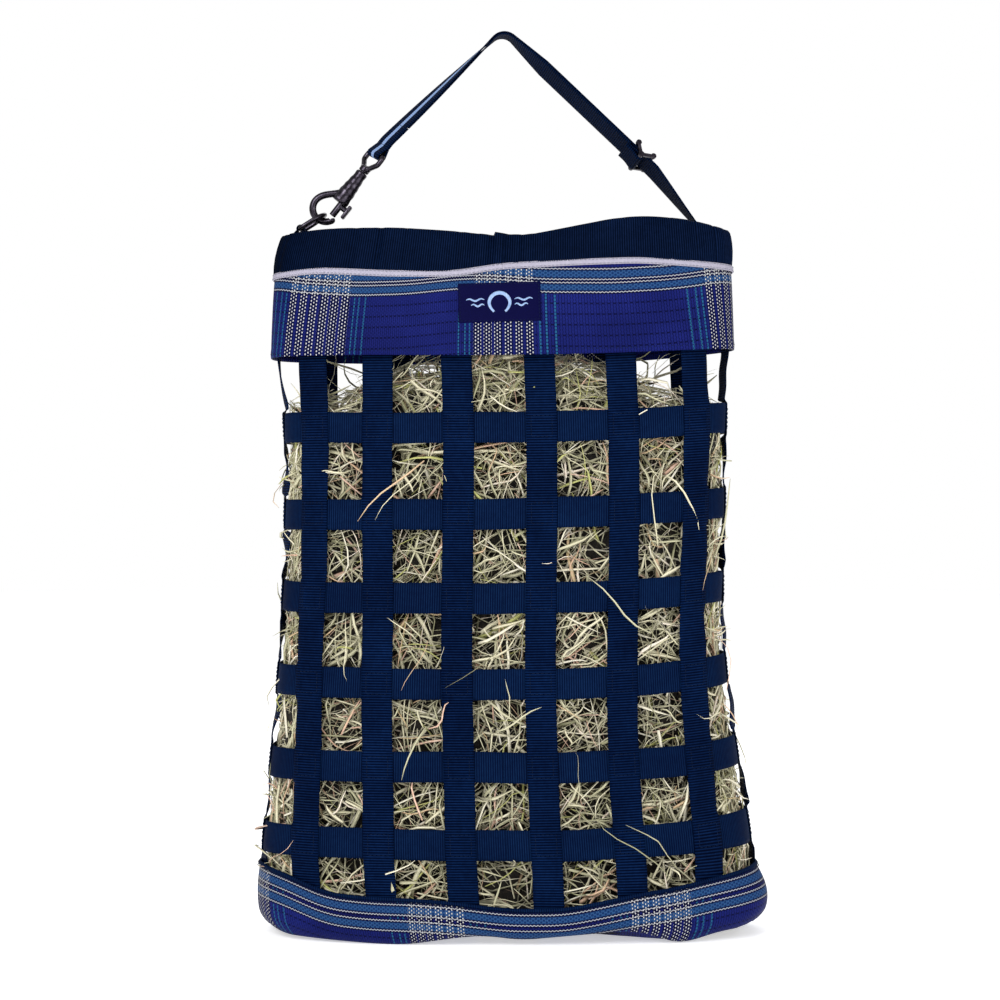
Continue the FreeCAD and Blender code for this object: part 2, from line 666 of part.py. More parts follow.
def d_ring():
    """Straight bar, two short legs and a round end, all of one wire."""
    matrix, depth = ring_matrix()
    straight = depth - RING_HALF
    bar_end = RING_HALF - RING_CORNER
    left, right = Vector(straight, -RING_HALF, 0), Vector(straight, RING_HALF, 0)
    edges = [Part.makeLine(Vector(0, -bar_end, 0), Vector(0, bar_end, 0)), ring_corner(1),
             Part.makeLine(Vector(RING_CORNER, RING_HALF, 0), right),
             Part.Arc(right, Vector(depth, 0, 0), left).toShape(),
             Part.makeLine(left, Vector(RING_CORNER, -RING_HALF, 0)), ring_corner(-1)]
    outline = Part.Wire(Part.__sortEdges__(edges))
    ring = swept_wire(outline, RING_WIRE, Vector(0, -bar_end, 0), Vector(0, 1, 0))
    return placed(ring, matrix)


def ring_tab():
    """Webbing loop round the D-ring's bar, with the start of the tail that is sewn to the hem."""
    inner = RING_WIRE + TAB_GAP
    outer = inner + WEB_THICK
    centre = Vector(RING_BAR[0], -TAB_WIDTH / 2, RING_BAR[1])
    loop = Part.makeCylinder(outer, TAB_WIDTH, centre, Vector(0, 1, 0))
    tail = Part.makeBox(outer + TAB_TAIL, TAB_WIDTH, 2 * WEB_THICK, Vector(0, -TAB_WIDTH / 2, -WEB_THICK))
    turn = FreeCAD.Rotation(Vector(0, 1, 0), TAB_ANGLE)
    tail.Placement = FreeCAD.Placement(Vector(RING_BAR[0], 0, RING_BAR[1]), turn)
    hole = Part.makeCylinder(inner, TAB_WIDTH, centre, Vector(0, 1, 0))
    return loop.fuse(tail).cut(hole).removeSplitter()


# ---------------------------------------------------------------- writing the pieces

def pieces():
    """Every piece by name."""
    found = {
        "hem_webbing": hem_webbing(),
        "trim_ribbon": trim_ribbon(),
        "upper_mesh_band": upper_mesh_band(),
        "lower_mesh_band": lower_mesh_band(),
        "base_binding": base_binding(),
        "base_panel": base_panel(),
        "label_patch": label_patch(),
        "hay_fill": hay_fill(),
        "strap_anchor": strap_anchor(),
        "hanger_strap": hanger_strap(),
        "ring_tab": ring_tab(),
        "d_ring": d_ring(),
        "slider_frame": slider_frame(),
        "slider_loop": slider_loop(),
    }
    for index in range(len(ROW_MIDDLES)):
        found[f"level_strap_{index + 1}"] = level_strap(index)
    for index in range(STRAP_COUNT):
        found[f"upright_strap_{index + 1:02d}"] = upright_strap(index)
    snap = snap_matrix()
    found["snap_eye"] = placed(snap_eye_local(), snap)
    found["snap_casting"] = placed(snap_casting_local(), snap)
    found["snap_bolt"] = placed(snap_bolt_local(), snap)
    found["bolt_spring"] = placed(bolt_spring_local(), snap)
    return found


os.makedirs("parts", exist_ok=True)
for name, shape in pieces().items():
    shape.exportStep(f"parts/{name}.step")
    print(name, shape.ShapeType, len(shape.Solids), round(shape.Volume), shape.isValid())
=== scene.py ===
"""Looks of the hay net: woven straps, plaid bands, gathered hem, hanging strap, metal fittings and hay."""

import json
import math

import bpy
import numpy as np
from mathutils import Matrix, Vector


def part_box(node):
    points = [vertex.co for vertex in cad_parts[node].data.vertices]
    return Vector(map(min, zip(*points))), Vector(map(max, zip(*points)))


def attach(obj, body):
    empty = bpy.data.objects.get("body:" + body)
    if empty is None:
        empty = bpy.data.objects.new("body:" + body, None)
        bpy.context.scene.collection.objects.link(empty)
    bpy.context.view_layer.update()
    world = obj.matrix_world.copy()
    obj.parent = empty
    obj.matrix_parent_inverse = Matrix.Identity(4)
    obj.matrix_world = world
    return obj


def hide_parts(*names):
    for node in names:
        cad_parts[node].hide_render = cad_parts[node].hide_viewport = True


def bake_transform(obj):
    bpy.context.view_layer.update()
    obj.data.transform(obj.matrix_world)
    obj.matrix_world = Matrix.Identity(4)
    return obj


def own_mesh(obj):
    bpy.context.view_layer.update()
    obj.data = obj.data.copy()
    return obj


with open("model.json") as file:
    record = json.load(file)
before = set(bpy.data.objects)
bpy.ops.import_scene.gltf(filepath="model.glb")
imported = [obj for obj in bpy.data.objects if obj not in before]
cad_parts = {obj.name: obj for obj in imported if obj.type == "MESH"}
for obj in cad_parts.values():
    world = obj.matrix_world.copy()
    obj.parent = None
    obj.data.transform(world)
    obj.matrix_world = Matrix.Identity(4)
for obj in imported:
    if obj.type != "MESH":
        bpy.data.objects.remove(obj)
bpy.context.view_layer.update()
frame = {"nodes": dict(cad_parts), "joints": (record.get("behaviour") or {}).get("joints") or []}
NODES = frame["nodes"]
JOINTS = {joint["name"]: joint for joint in frame["joints"]}

MM = 0.001
WEB_WIDTH = 25.4 * MM
WEB_THICK = 1.3 * MM
MESH_THICK = 1.0 * MM
STRAP_COUNT = 14
LEVEL_COUNT = 6
PLAN_POWER = 2.8                      # the bag's plan is a superellipse of this power
LEVEL_MIDDLE = WEB_THICK / 2          # each layer's middle, measured outwards from the bag's wall
UPRIGHT_MIDDLE = 1.6 * MM + WEB_THICK / 2
BAND_MIDDLE = 3.2 * MM + MESH_THICK / 2
UPRIGHT_RIB = 2.2 * MM                # pitch of the woven ribs
LEVEL_RIB = 1.9 * MM
HEM_RIB = 1.9 * MM
SEED = 11


# ================================================================ arithmetic

def unit(vectors):
    """The same directions, one unit long."""
    return vectors / np.linalg.norm(vectors, axis=-1, keepdims=True)


def run_of(points):
    """Distance along a line of points from its start."""
    return np.concatenate([[0], np.cumsum(np.linalg.norm(np.diff(points, axis=0), axis=1))])


def eased(value):
    """0 below 0, 1 above 1, and a soft step between."""
    value = np.clip(value, 0, 1)
    return value * value * (3 - 2 * value)


def round_grid(rows, across):
    """Two grids: the share of the way round the bag, and the place across a cloth."""
    return np.meshgrid(np.arange(rows) / rows, across, indexing="ij")


def share_from(place, share):
    """Share round the bag counted from a place, the short way."""
    return np.mod(share - place + 0.5, 1.0) - 0.5


# ================================================================ the bag's wall, read from the CAD

def corners_of(node):
    co = np.empty(len(NODES[node].data.vertices) * 3, np.float64)
    NODES[node].data.vertices.foreach_get("co", co)
    return co.reshape(-1, 3)


def plan_at(node, z, outside):
    """Height, half width, half depth and middle x of the wall, from a node's corners at one height."""
    co = corners_of(node)
    ring = co[np.abs(co[:, 2] - z) < 0.4 * MM]
    low, high = ring.min(0), ring.max(0)
    return z, (high[0] - low[0]) / 2 - outside, (high[1] - low[1]) / 2 - outside, (high[0] + low[0]) / 2


def wall_stations():
    rows = [plan_at("base_panel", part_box("base_panel")[0].z, 2.9 * MM),
            plan_at("lower_mesh_band", 15 * MM, 4.2 * MM)]
    for index in range(LEVEL_COUNT):
        node = f"level_strap_{index + 1}"
        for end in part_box(node):
            rows.append(plan_at(node, end.z, WEB_THICK))
    for z in (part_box("upper_mesh_band")[0].z, 508 * MM, 531 * MM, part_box("upper_mesh_band")[1].z):
        rows.append(plan_at("upper_mesh_band", z, 4.2 * MM))
    for z in (575 * MM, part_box("hem_webbing")[1].z):
        rows.append(plan_at("hem_webbing", z, 5.0 * MM))
    return np.array(rows)


class Wall:
    """The bag's wall: plan points by height and by share of the way round from the front's middle."""

    def __init__(self, stations, height_step=4 * MM, shares=720):
        self.shares = shares
        self.low = -12 * MM
        self.step = height_step
        count = int((stations[-1, 0] + 24 * MM - self.low) / height_step) + 1
        self.heights = self.low + height_step * np.arange(count)
        kernel = np.array([1, 2, 3, 2, 1]) / 9.0
        rough = [np.interp(self.heights, stations[:, 0], stations[:, k]) for k in (1, 2, 3)]
        width, depth, self.middle = [np.convolve(np.pad(v, 2, "edge"), kernel, "valid") for v in rough]
        self.half = np.stack([width, depth])
        angle = -np.pi / 2 + 2 * np.pi * np.arange(4 * shares + 1) / (4 * shares)
        round_once = np.stack([np.cos(angle), np.sin(angle)], -1)
        round_once = np.sign(round_once) * np.abs(round_once) ** (2.0 / PLAN_POWER)
        self.table = np.empty((count, shares, 2))
        self.total = np.empty(count)
        for i in range(count):
            plan = round_once * self.half[:, i]
            run = run_of(plan)
            self.total[i] = run[-1]
            even = np.arange(shares) / shares * run[-1]
            for k, start in enumerate((self.middle[i], 0.0)):
                self.table[i, :, k] = np.interp(even, run, plan[:, k]) + start
        ahead = unit(np.roll(self.table, -1, 1) - np.roll(self.table, 1, 1))
        self.normal = np.stack([ahead[..., 1], -ahead[..., 0]], -1)

    def look_up(self, table, share, z):
        """A table's value between its rows and columns."""
        row = np.clip((z - self.low) / self.step, 0, len(self.heights) - 1.001)
        col = np.mod(share, 1.0) * self.shares
        i, j = row.astype(int), np.floor(col).astype(int)
        up, on = (row - i)[..., None], (col - j)[..., None]
        j, j1 = j % self.shares, (j + 1) % self.shares
        near = table[i, j] * (1 - on) + table[i, j1] * on
        far = table[i + 1, j] * (1 - on) + table[i + 1, j1] * on
        return near * (1 - up) + far * up

    def around(self, z):
        return np.interp(z, self.heights, self.total)

    def drawn_inside(self, points, clear):
        """Points outside the wall are drawn back in until they clear it."""
        points = points.copy()
        middle = np.interp(points[:, 2], self.heights, self.middle)
        width, depth = [np.interp(points[:, 2], self.heights, half) - clear for half in self.half]
        aside = np.abs((points[:, 0] - middle) / width) ** PLAN_POWER
        reach = aside + np.abs(points[:, 1] / depth) ** PLAN_POWER
        back = 1 / np.maximum(reach, 1) ** (1 / PLAN_POWER)
        points[:, 0] = middle + (points[:, 0] - middle) * back
        points[:, 1] *= back
        return points

    def at(self, share, z, out):
        """Points and outward directions at shares, heights and distances outside the wall."""
        share, z, out = np.broadcast_arrays(*[np.asarray(v, float) for v in (share, z, out)])
        way = unit(self.look_up(self.normal, share, z))
        flat = self.look_up(self.table, share, z) + way * out[..., None]
        points = np.concatenate([flat, z[..., None]], -1)
        return points, np.concatenate([way, np.zeros(way.shape[:-1] + (1,))], -1)


WALL = Wall(wall_stations())


def ripple(share, z, seed, waves=6, stretch=9.0):
    """Smooth wandering value of about -1 to 1 that meets itself round the bag."""
    rng = np.random.default_rng(seed)
    total = np.zeros(np.broadcast(share, z).shape)
    for k in range(waves):
        turns = int(rng.integers(1, 3 + 2 * k))
        tilt, phase = rng.uniform(-stretch, stretch) * (1 + k), rng.uniform(0, 2 * np.pi)
        total = total + np.sin(2 * np.pi * turns * share + tilt * z + phase) / (1 + 0.5 * k)
    return total / 2.2


def rise(x, z):
    """How far the net stands higher towards the right end."""
    fade = np.clip((z - 45 * MM) / (40 * MM), 0, 1)
    return 9 * MM * fade * (np.clip(x, 0, None) / 0.19) ** 2


def bulge(share, z):
    """How far the hay pushes the wall in or out."""
    return 1.6 * MM * ripple(share, z, SEED)


def net(share, z, out):
    """Points and normals on the stuffed, slightly lopsided net."""
    share, z, out = np.broadcast_arrays(*[np.asarray(v, float) for v in (share, z, out)])
    points, ways = WALL.at(share, z, out + bulge(share, z))
    points = points.copy()
    points[..., 2] += rise(points[..., 0], z)
    return points, ways


# ================================================================ meshes

def enclosed(verts, tris):
    """Volume inside closed triangles; it comes out negative when they face inwards."""
    a, b, c = [verts[tris[:, k]].astype(float) for k in range(3)]
    return np.einsum("ij,ij->", a, np.cross(b, c)) / 6


def new_piece(name, verts, quads, tris=(), smooth=True, **attributes):
    """A mesh object from arrays of corners and faces that face outwards, with extra values per corner."""
    verts = np.asarray(verts, np.float32).reshape(-1, 3)
    quads = np.asarray(quads, np.int32).reshape(-1, 4)
    tris = np.asarray(tris, np.int32).reshape(-1, 3)
    if enclosed(verts, np.concatenate([tris, quads[:, :3], quads[:, [0, 2, 3]]])) < 0:
        quads, tris = quads[:, ::-1], tris[:, ::-1]
    mesh = bpy.data.meshes.new(name)
    mesh.vertices.add(len(verts))
    mesh.vertices.foreach_set("co", verts.ravel())
    mesh.loops.add(quads.size + tris.size)
    mesh.loops.foreach_set("vertex_index", np.concatenate([quads.ravel(), tris.ravel()]))
    mesh.polygons.add(len(quads) + len(tris))
    starts = np.concatenate([np.arange(len(quads)) * 4, quads.size + np.arange(len(tris)) * 3])
    mesh.polygons.foreach_set("loop_start", starts.astype(np.int32))
    mesh.polygons.foreach_set("use_smooth", np.full(len(quads) + len(tris), smooth))
    for key, values in attributes.items():
        values = np.asarray(values, np.float32)
        if values.ndim == 2:
            layer = mesh.attributes.new(key, "FLOAT_VECTOR", "POINT")
            layer.data.foreach_set("vector", values.ravel())
        else:
            layer = mesh.attributes.new(key, "FLOAT", "POINT")
            layer.data.foreach_set("value", values)
    mesh.update(calc_edges=True)
    mesh.validate()
    obj = bpy.data.objects.new(name, mesh)
    bpy.context.scene.collection.objects.link(obj)
    return obj


def grid_faces(rows, cols, wrap_rows=False, wrap_cols=False, first=0, flip=False):
    """Quads of a grid of corners."""
    i = np.arange(rows if wrap_rows else rows - 1)
    j = np.arange(cols if wrap_cols else cols - 1)
    i, j = np.meshgrid(i, j, indexing="ij")
    i1, j1 = (i + 1) % rows, (j + 1) % cols
    quads = np.stack([i * cols + j, i1 * cols + j, i1 * cols + j1, i * cols + j1], -1).reshape(-1, 4) + first
    return quads[:, ::-1] if flip else quads


def fan(hub, ring, flip=False):
    """Triangles from a hub corner to a closed ring of corners."""
    tris = np.stack([np.full(len(ring), hub), ring, np.roll(ring, -1)], -1)
    return tris[:, [0, 2, 1]] if flip else tris


def edge_faces(edge, size, wrap, flip):
    """Quads between a line of corners and the same line, size corners further on."""
    ahead = np.roll(edge, -1)
    quads = np.stack([edge, ahead, size + ahead, size + edge], -1)[:len(edge) if wrap else -1]
    return quads[:, ::-1] if flip else quads


def capped_tube(rings, flip=False):
    """Corners and faces of a closed tube from its rings of corners (rings, corners, 3)."""
    rows, cols = rings.shape[:2]
    ring = np.arange(cols)
    verts = np.concatenate([rings.reshape(-1, 3), rings[:1].mean(1), rings[-1:].mean(1)])
    caps = [fan(rows * cols, ring, flip), fan(rows * cols + 1, (rows - 1) * cols + ring, not flip)]
    return verts, grid_faces(rows, cols, wrap_cols=True, flip=flip), np.concatenate(caps)


def sheet(name, points, normals, half, lay, wrap=False, edge=0.55):
    """A closed cloth sheet: its middle surface, thickened both ways, with softened long edges.

    points and normals are (along, across, 3), half is half the thickness and lay is (along, across, 2).
    """
    rows, cols = points.shape[:2]
    half = np.broadcast_to(np.asarray(half, float), (rows, cols)).copy()
    half[:, [0, -1]] *= edge
    top = points + normals * half[..., None]
    low = points - normals * half[..., None]
    size = rows * cols
    corners = np.arange(size).reshape(rows, cols)
    quads = [grid_faces(rows, cols, wrap, flip=True), grid_faces(rows, cols, wrap, first=size),
             edge_faces(corners[:, 0], size, wrap, False), edge_faces(corners[:, -1], size, wrap, True)]
    if not wrap:
        quads += [edge_faces(corners[0], size, False, True), edge_faces(corners[-1], size, False, False)]
    flat = np.concatenate([np.asarray(lay, float), np.ones((rows, cols, 1))], -1)
    back = flat * (1, 1, -1)
    return new_piece(name, [top, low], np.concatenate(quads), lay=np.concatenate([flat, back]).reshape(-1, 3))


def ribs(along, pitch, across, width, height):
    """Extra half thickness of the woven ribs, which die away at the selvedges."""
    side = np.clip((0.5 - np.abs(across / width - 0.5)) / 0.09, 0, 1)
    return height * (0.5 + 0.5 * np.cos(2 * np.pi * along / pitch)) * side


def bar(path, half_width, half_height, sides):
    """Corners and faces of a bar along a path, whose half width and half height are vectors at each point."""
    angle = 2 * np.pi * np.arange(sides)[:, None] / sides
    ring = half_width[:, None] * np.cos(angle) + half_height[:, None] * np.sin(angle)
    return capped_tube(path[:, None] + ring)


class Bits:
    """Collects many small shapes into one piece."""

    def __init__(self):
        self.verts, self.quads, self.tris, self.count = [], [], [], 0

    def add(self, verts, quads, tris):
        self.verts.append(verts)
        self.quads.append(quads + self.count)
        self.tris.append(tris + self.count)
        self.count += len(verts)

    def piece(self, name):
        return new_piece(name, *[np.concatenate(part) for part in (self.verts, self.quads, self.tris)])


def thread(bits, points, normals, stitch=3.0 * MM, gap=0.9 * MM, radius=0.3 * MM):
    """Stitches along a line: short raised lengths of thread that dip at both ends."""
    run = run_of(points)
    count = max(1, int(run[-1] / (stitch + gap)))
    pitch = run[-1] / count
    shape = np.array([-0.9, 0.35, 0.8, 0.35, -0.9])
    for k in range(count):
        at = (k + 0.5) * pitch + np.linspace(-0.5, 0.5, 5) * stitch
        path = np.stack([np.interp(at, run, column) for column in points.T], -1)
        up = unit(np.stack([np.interp(at, run, column) for column in normals.T], -1))
        path = path + up * (shape * radius)[:, None]
        side = np.cross(up, unit(path[-1] - path[0]))
        bits.add(*bar(path, up * radius, side * radius, 4))


# ================================================================ materials

def colour(code):
    """Linear colour from a six-figure sRGB code."""
    parts = [int(code[i:i + 2], 16) / 255 for i in (0, 2, 4)]
    return tuple(p / 12.92 if p <= 0.04045 else ((p + 0.055) / 1.055) ** 2.4 for p in parts) + (1.0,)


def step(kind):
    """A Field method that adds one shader arithmetic node."""
    return lambda field, *others: field.math(kind, *others)


class Field:
    """A number inside a shader, with ordinary arithmetic."""

    def __init__(self, tree, socket):
        self.tree, self.socket = tree, socket

    def math(self, kind, *others):
        node = self.tree.nodes.new("ShaderNodeMath")
        node.operation = kind
        for slot, value in enumerate((self,) + others):
            if isinstance(value, Field):
                self.tree.links.new(value.socket, node.inputs[slot])
            else:
                node.inputs[slot].default_value = value
        return Field(self.tree, node.outputs[0])

    __add__ = __radd__ = step("ADD")
    __mul__ = __rmul__ = step("MULTIPLY")
    __sub__ = step("SUBTRACT")
    __truediv__ = step("DIVIDE")
    above = step("GREATER_THAN")
    below = step("LESS_THAN")
    either = step("MAXIMUM")
    size = step("ABSOLUTE")

    def wave(self, pitch):
        """0 to 1 and back, once in each pitch."""
        return (self * (2 * math.pi / pitch)).math("SINE") * 0.5 + 0.5

    def share(self, pitch):
        """0 to 1 along each pitch."""
        return (self / pitch).math("FRACT")

    def off_middle(self, pitch):
        """Share of the pitch away from the middle of each pitch."""
        return (self.share(pitch) - 0.5).size()

    def between(self, low, high):
        return self.above(low) * self.below(high)

    def clipped(self):
        return self.math("MINIMUM", 1.0).math("MAXIMUM", 0.0)


class Finish:
    """A material under construction."""

    def __init__(self, name):
        self.material = bpy.data.materials.new(name)
        self.material.use_nodes = True
        self.tree = self.material.node_tree
        self.shader = next(n for n in self.tree.nodes if n.type == "BSDF_PRINCIPLED")

    def attribute(self, name):
        node = self.tree.nodes.new("ShaderNodeAttribute")
        node.attribute_name = name
        return node

    def lay(self):
        """Distance along the cloth, distance across it, and which side (1 or -1)."""
        split = self.tree.nodes.new("ShaderNodeSeparateXYZ")
        self.tree.links.new(self.attribute("lay").outputs["Vector"], split.inputs[0])
        return [Field(self.tree, split.outputs[k]) for k in range(3)]

    def value(self, name):
        return Field(self.tree, self.attribute(name).outputs["Fac"])

    def noise(self, scale, detail=3.0, rough=0.6, stretch=None):
        place = self.tree.nodes.new("ShaderNodeTexCoord").outputs["Object"]
        if stretch:
            mapping = self.tree.nodes.new("ShaderNodeMapping")
            mapping.inputs["Scale"].default_value = stretch
            self.tree.links.new(place, mapping.inputs["Vector"])
            place = mapping.outputs["Vector"]
        node = self.tree.nodes.new("ShaderNodeTexNoise")
        node.inputs["Scale"].default_value = scale
        node.inputs["Detail"].default_value = detail
        node.inputs["Roughness"].default_value = rough
        self.tree.links.new(place, node.inputs["Vector"])
        return Field(self.tree, node.outputs["Fac"])

    def ramp(self, field, stops):
        node = self.tree.nodes.new("ShaderNodeValToRGB")
        points = node.color_ramp.elements
        while len(points) < len(stops):
            points.new(0.5)
        for point, (place, code) in zip(points, stops):
            point.position = place
            point.color = colour(code)
        self.tree.links.new(field.socket, node.inputs["Fac"])
        return node.outputs["Color"]

    def mix(self, field, low, high):
        """low where the field is 0, high where it is 1. Colours are codes or sockets."""
        node = self.tree.nodes.new("ShaderNodeMix")
        node.data_type = "RGBA"
        self.tree.links.new(field.socket, node.inputs["Factor"])
        for side, value in (("A", low), ("B", high)):
            socket = next(s for s in node.inputs if s.name == side and s.type == "RGBA")
            if isinstance(value, str):
                socket.default_value = colour(value)
            else:
                self.tree.links.new(value, socket)
        return next(s for s in node.outputs if s.type == "RGBA")

    def done(self, base, roughness=0.6, height=None, **settings):
        links = self.tree.links
        if isinstance(base, str):
            self.shader.inputs["Base Color"].default_value = colour(base)
        else:
            links.new(base, self.shader.inputs["Base Color"])
        if isinstance(roughness, Field):
            links.new(roughness.socket, self.shader.inputs["Roughness"])
        else:
            self.shader.inputs["Roughness"].default_value = roughness
        if height is not None:
            bump = self.tree.nodes.new("ShaderNodeBump")
            bump.inputs["Distance"].default_value = 1.0
            links.new(height.socket, bump.inputs["Height"])
            links.new(bump.outputs["Normal"], self.shader.inputs["Normal"])
        for key, value in settings.items():
            self.shader.inputs[key.replace("_", " ")].default_value = value
        return self.material


def webbing_finish(name, pitch, dark, middle, light, stripe=None):
    """Ribbed polyester webbing with fine threads: its colour holds painted shade between the ribs and broad
    lighter patches of painted sheen, and its roughness is uneven.
    """
    finish = Finish(name)
    along, across, side = finish.lay()
    cloud = finish.noise(16.0, 4.0)
    fine = finish.noise(900.0, 2.0, 0.7)
    uneven = finish.noise(240.0, 2.0, 0.6)
    rib = (along + pitch / 4).wave(pitch)
    warp = across.wave(0.62 * MM)
    # Painted shade and sheen: the colour darkens in the grooves between the ribs and lightens in broad cloudy
    # patches; fine, uneven and warp add thread tone.
    shade = (rib * 0.8 + fine * 0.25 + cloud * 0.6 + uneven * 0.35 + warp * 0.1 - 0.62).clipped()
    base = finish.ramp(shade, [(0.0, dark), (0.55, middle), (1.0, light)])
    if stripe:
        inside = across.between(WEB_WIDTH / 2 - 2.9 * MM, WEB_WIDTH / 2 + 2.9 * MM) * side.above(0.0)
        # The stripe's colour is darker between the ribs too: painted shade.
        pale = finish.ramp((rib * 0.5 + fine * 0.5).clipped(), [(0.0, "6E88B4"), (1.0, stripe)])
        base = finish.mix(inside, base, pale)
    height = warp * (0.05 * MM) + fine * (0.06 * MM) + rib * (0.10 * MM)
    rough = (cloud * 0.35 + 0.40 - rib * 0.06).clipped()
    return finish.done(base, rough, height, Specular_IOR_Level=0.01)


def trim_finish():
    """Pale lilac grosgrain ribbon, its colour darker between the ribs as painted shade."""
    finish = Finish("pale_grosgrain")
    along, across, _ = finish.lay()
    rib = along.wave(0.9 * MM)
    fine = finish.noise(700.0, 2.0)
    shades = [(0.0, "77748A"), (0.5, "A29EAE"), (1.0, "BCB8C4")]
    # Painted shade: the colour darkens in the valleys between the ribs.
    base = finish.ramp((rib * 0.5 + fine * 0.5).clipped(), shades)
    height = rib * (0.12 * MM) + across.wave(0.8 * MM) * (0.03 * MM)
    return finish.done(base, 0.7, height, Specular_IOR_Level=0.15)


BLOCK_PERIOD = 186.0 * MM          # the plaid repeats round the bag at this pitch
BLOCK_HALF = 25.0 * MM             # half width of a block of white yarns
GROUP_PITCH = 8.5 * MM             # six groups of three white yarns in each block
GROUP_SHARE = 0.76                 # share of the pitch that a group fills
YARN_PITCH = 2.2 * MM
DASH_PITCH = 3.0 * MM


def plaid_finish(name, stripes):
    """Woven vinyl mesh: royal ground, blocks of dashed white yarns, level light-blue stripes, and holes
    painted near black as painted shade.
    """
    finish = Finish(name)
    along, height_at, _ = finish.lay()
    place = (along + BLOCK_PERIOD / 2).share(BLOCK_PERIOD) * BLOCK_PERIOD - BLOCK_PERIOD / 2
    away = place.size()
    column = along.off_middle(YARN_PITCH)
    odd = (along / YARN_PITCH).math("FLOOR").math("MODULO", 2.0).size()
    dash = (height_at + odd * (DASH_PITCH / 2)).off_middle(DASH_PITCH)
    fine = finish.noise(1300.0, 2.0, 0.7)
    cloud = finish.noise(22.0, 3.0)

    shades = [(0.0, "080D38"), (0.5, "151C5C"), (1.0, "212A7C")]
    base = finish.ramp((cloud * 0.7 + fine * 0.45 - 0.1).clipped(), shades)
    # Painted shade: the holes between the yarns are coloured near black, as the shade seen through them.
    hole = column.above(0.30) * dash.above(0.22)
    base = finish.mix(hole * 0.85, base, "04061C")
    dark_row = height_at.off_middle(9.0 * MM).below(0.07) * dash.above(0.12)
    base = finish.mix(dark_row * 0.75, base, "030416")

    in_block = away.below(BLOCK_HALF)
    between = in_block * (place + BLOCK_HALF).share(GROUP_PITCH).above(GROUP_SHARE)
    base = finish.mix(in_block * 0.65, base, "04061F")
    base = finish.mix(between * 0.5, base, "181F66")
    for offset in (BLOCK_HALF + 4 * MM, BLOCK_HALF + 9 * MM, BLOCK_HALF + 16 * MM):
        line = (away - offset).size().below(0.7 * MM) * dash.below(0.36)
        base = finish.mix(line * 0.7, base, "22607E")

    zigzag = None
    swing = along.off_middle(3.0 * MM) * (1.7 * MM)
    for low, high in stripes:
        stripe = height_at.between(low, high)
        knit = (dash * 1.1 + column * 0.5 + fine * 0.3).clipped()
        pale = finish.ramp(knit, [(0.0, "050F32"), (0.4, "142F58"), (0.75, "264A78"), (1.0, "4E6C8C")])
        base = finish.mix(stripe * 0.92, base, pale)
        for edge in (low - 1.2 * MM, high + 1.2 * MM):
            near = (height_at - edge).size().below(1.7 * MM)
            base = finish.mix(near * 0.8, base, "060826")
            line = (height_at - edge + 0.4 * MM - swing).size().below(0.36 * MM)
            zigzag = line if zigzag is None else zigzag.either(line)
    if zigzag is not None:
        base = finish.mix(zigzag * (fine * 0.3 + 0.6).clipped(), base, "B4B6BC")

    in_group = (place + BLOCK_HALF).share(GROUP_PITCH).below(GROUP_SHARE)
    white = in_block * in_group * dash.below(0.22) * column.below(0.20)
    base = finish.mix(white * (fine * 0.3 + 0.72).clipped(), base, "C6C6C4")
    height = (column * dash) * (-1.1 * MM) + white * (0.14 * MM) + fine * (0.05 * MM)
    return finish.done(base, 0.5, height, Specular_IOR_Level=0.02)


def label_finish():
    finish = Finish("label_weave")
    along, across, _ = finish.lay()
    fine = finish.noise(1500.0, 2.0, 0.7)
    twill = (along + across).wave(0.7 * MM)
    shades = [(0.0, "04041C"), (0.6, "080834"), (1.0, "101248")]
    # Painted shade: the colour darkens in the valleys of the twill; fine adds thread tone.
    base = finish.ramp((twill * 0.4 + fine * 0.6).clipped(), shades)
    return finish.done(base, 0.5, twill * (0.04 * MM), Specular_IOR_Level=0.02)


def emblem_finish():
    finish = Finish("emblem_thread")
    fine = finish.noise(900.0, 3.0, 0.7, (1.0, 1.0, 0.25))
    base = finish.ramp(fine, [(0.3, "6C8CBC"), (0.6, "92A9CE"), (0.9, "BCC8DC")])
    return finish.done(base, 0.45, fine * (0.15 * MM), Specular_IOR_Level=0.3)


def thread_finish(name, code):
    finish = Finish(name)
    fine = finish.noise(2200.0, 2.0)
    base = finish.ramp(fine, [(0.2, "000814"), (0.8, code)])
    return finish.done(base, 0.55, fine * (0.05 * MM), Specular_IOR_Level=0.1)


def gunmetal_finish():
    """Dark nickel plating with soft cloudy wear."""
    finish = Finish("gunmetal_plating")
    cloud = finish.noise(160.0, 4.0)
    scratch = finish.noise(900.0, 2.0, 0.5, (1.0, 1.0, 0.12))
    shades = [(0.3, "1A181E"), (0.6, "38343C"), (0.85, "6A6670")]
    base = finish.ramp((cloud * 0.8 + scratch * 0.3).clipped(), shades)
    rough = (cloud * 0.22 + scratch * 0.08 + 0.10).clipped()
    return finish.done(base, rough, cloud * (0.008 * MM), Metallic=1.0)


def hay_finish(name):
    """Dried grass: straw, olive and a little tan, streaked along each stem, with painted shade that darkens
    the stems lying deeper in the hay.
    """
    finish = Finish(name)
    tone = finish.value("tone")
    streak = finish.noise(520.0, 3.0, 0.7)
    stops = [(0.0, "69654D"), (0.2, "A3A17F"), (0.42, "CBC7A6"), (0.62, "E4DDBE"), (0.8, "F8F2E0"),
             (0.88, "E2B8A2"), (1.0, "C0C27A")]
    base = finish.ramp((tone + streak * 0.16 - 0.08).clipped(), stops)
    # Painted shade: stems that lie deeper in the hay are darkened towards near black by their deep value.
    base = finish.mix((finish.value("deep") * 1.4).clipped(), base, "150F07")
    return finish.done(base, 0.62, streak * (0.12 * MM), Specular_IOR_Level=0.2)


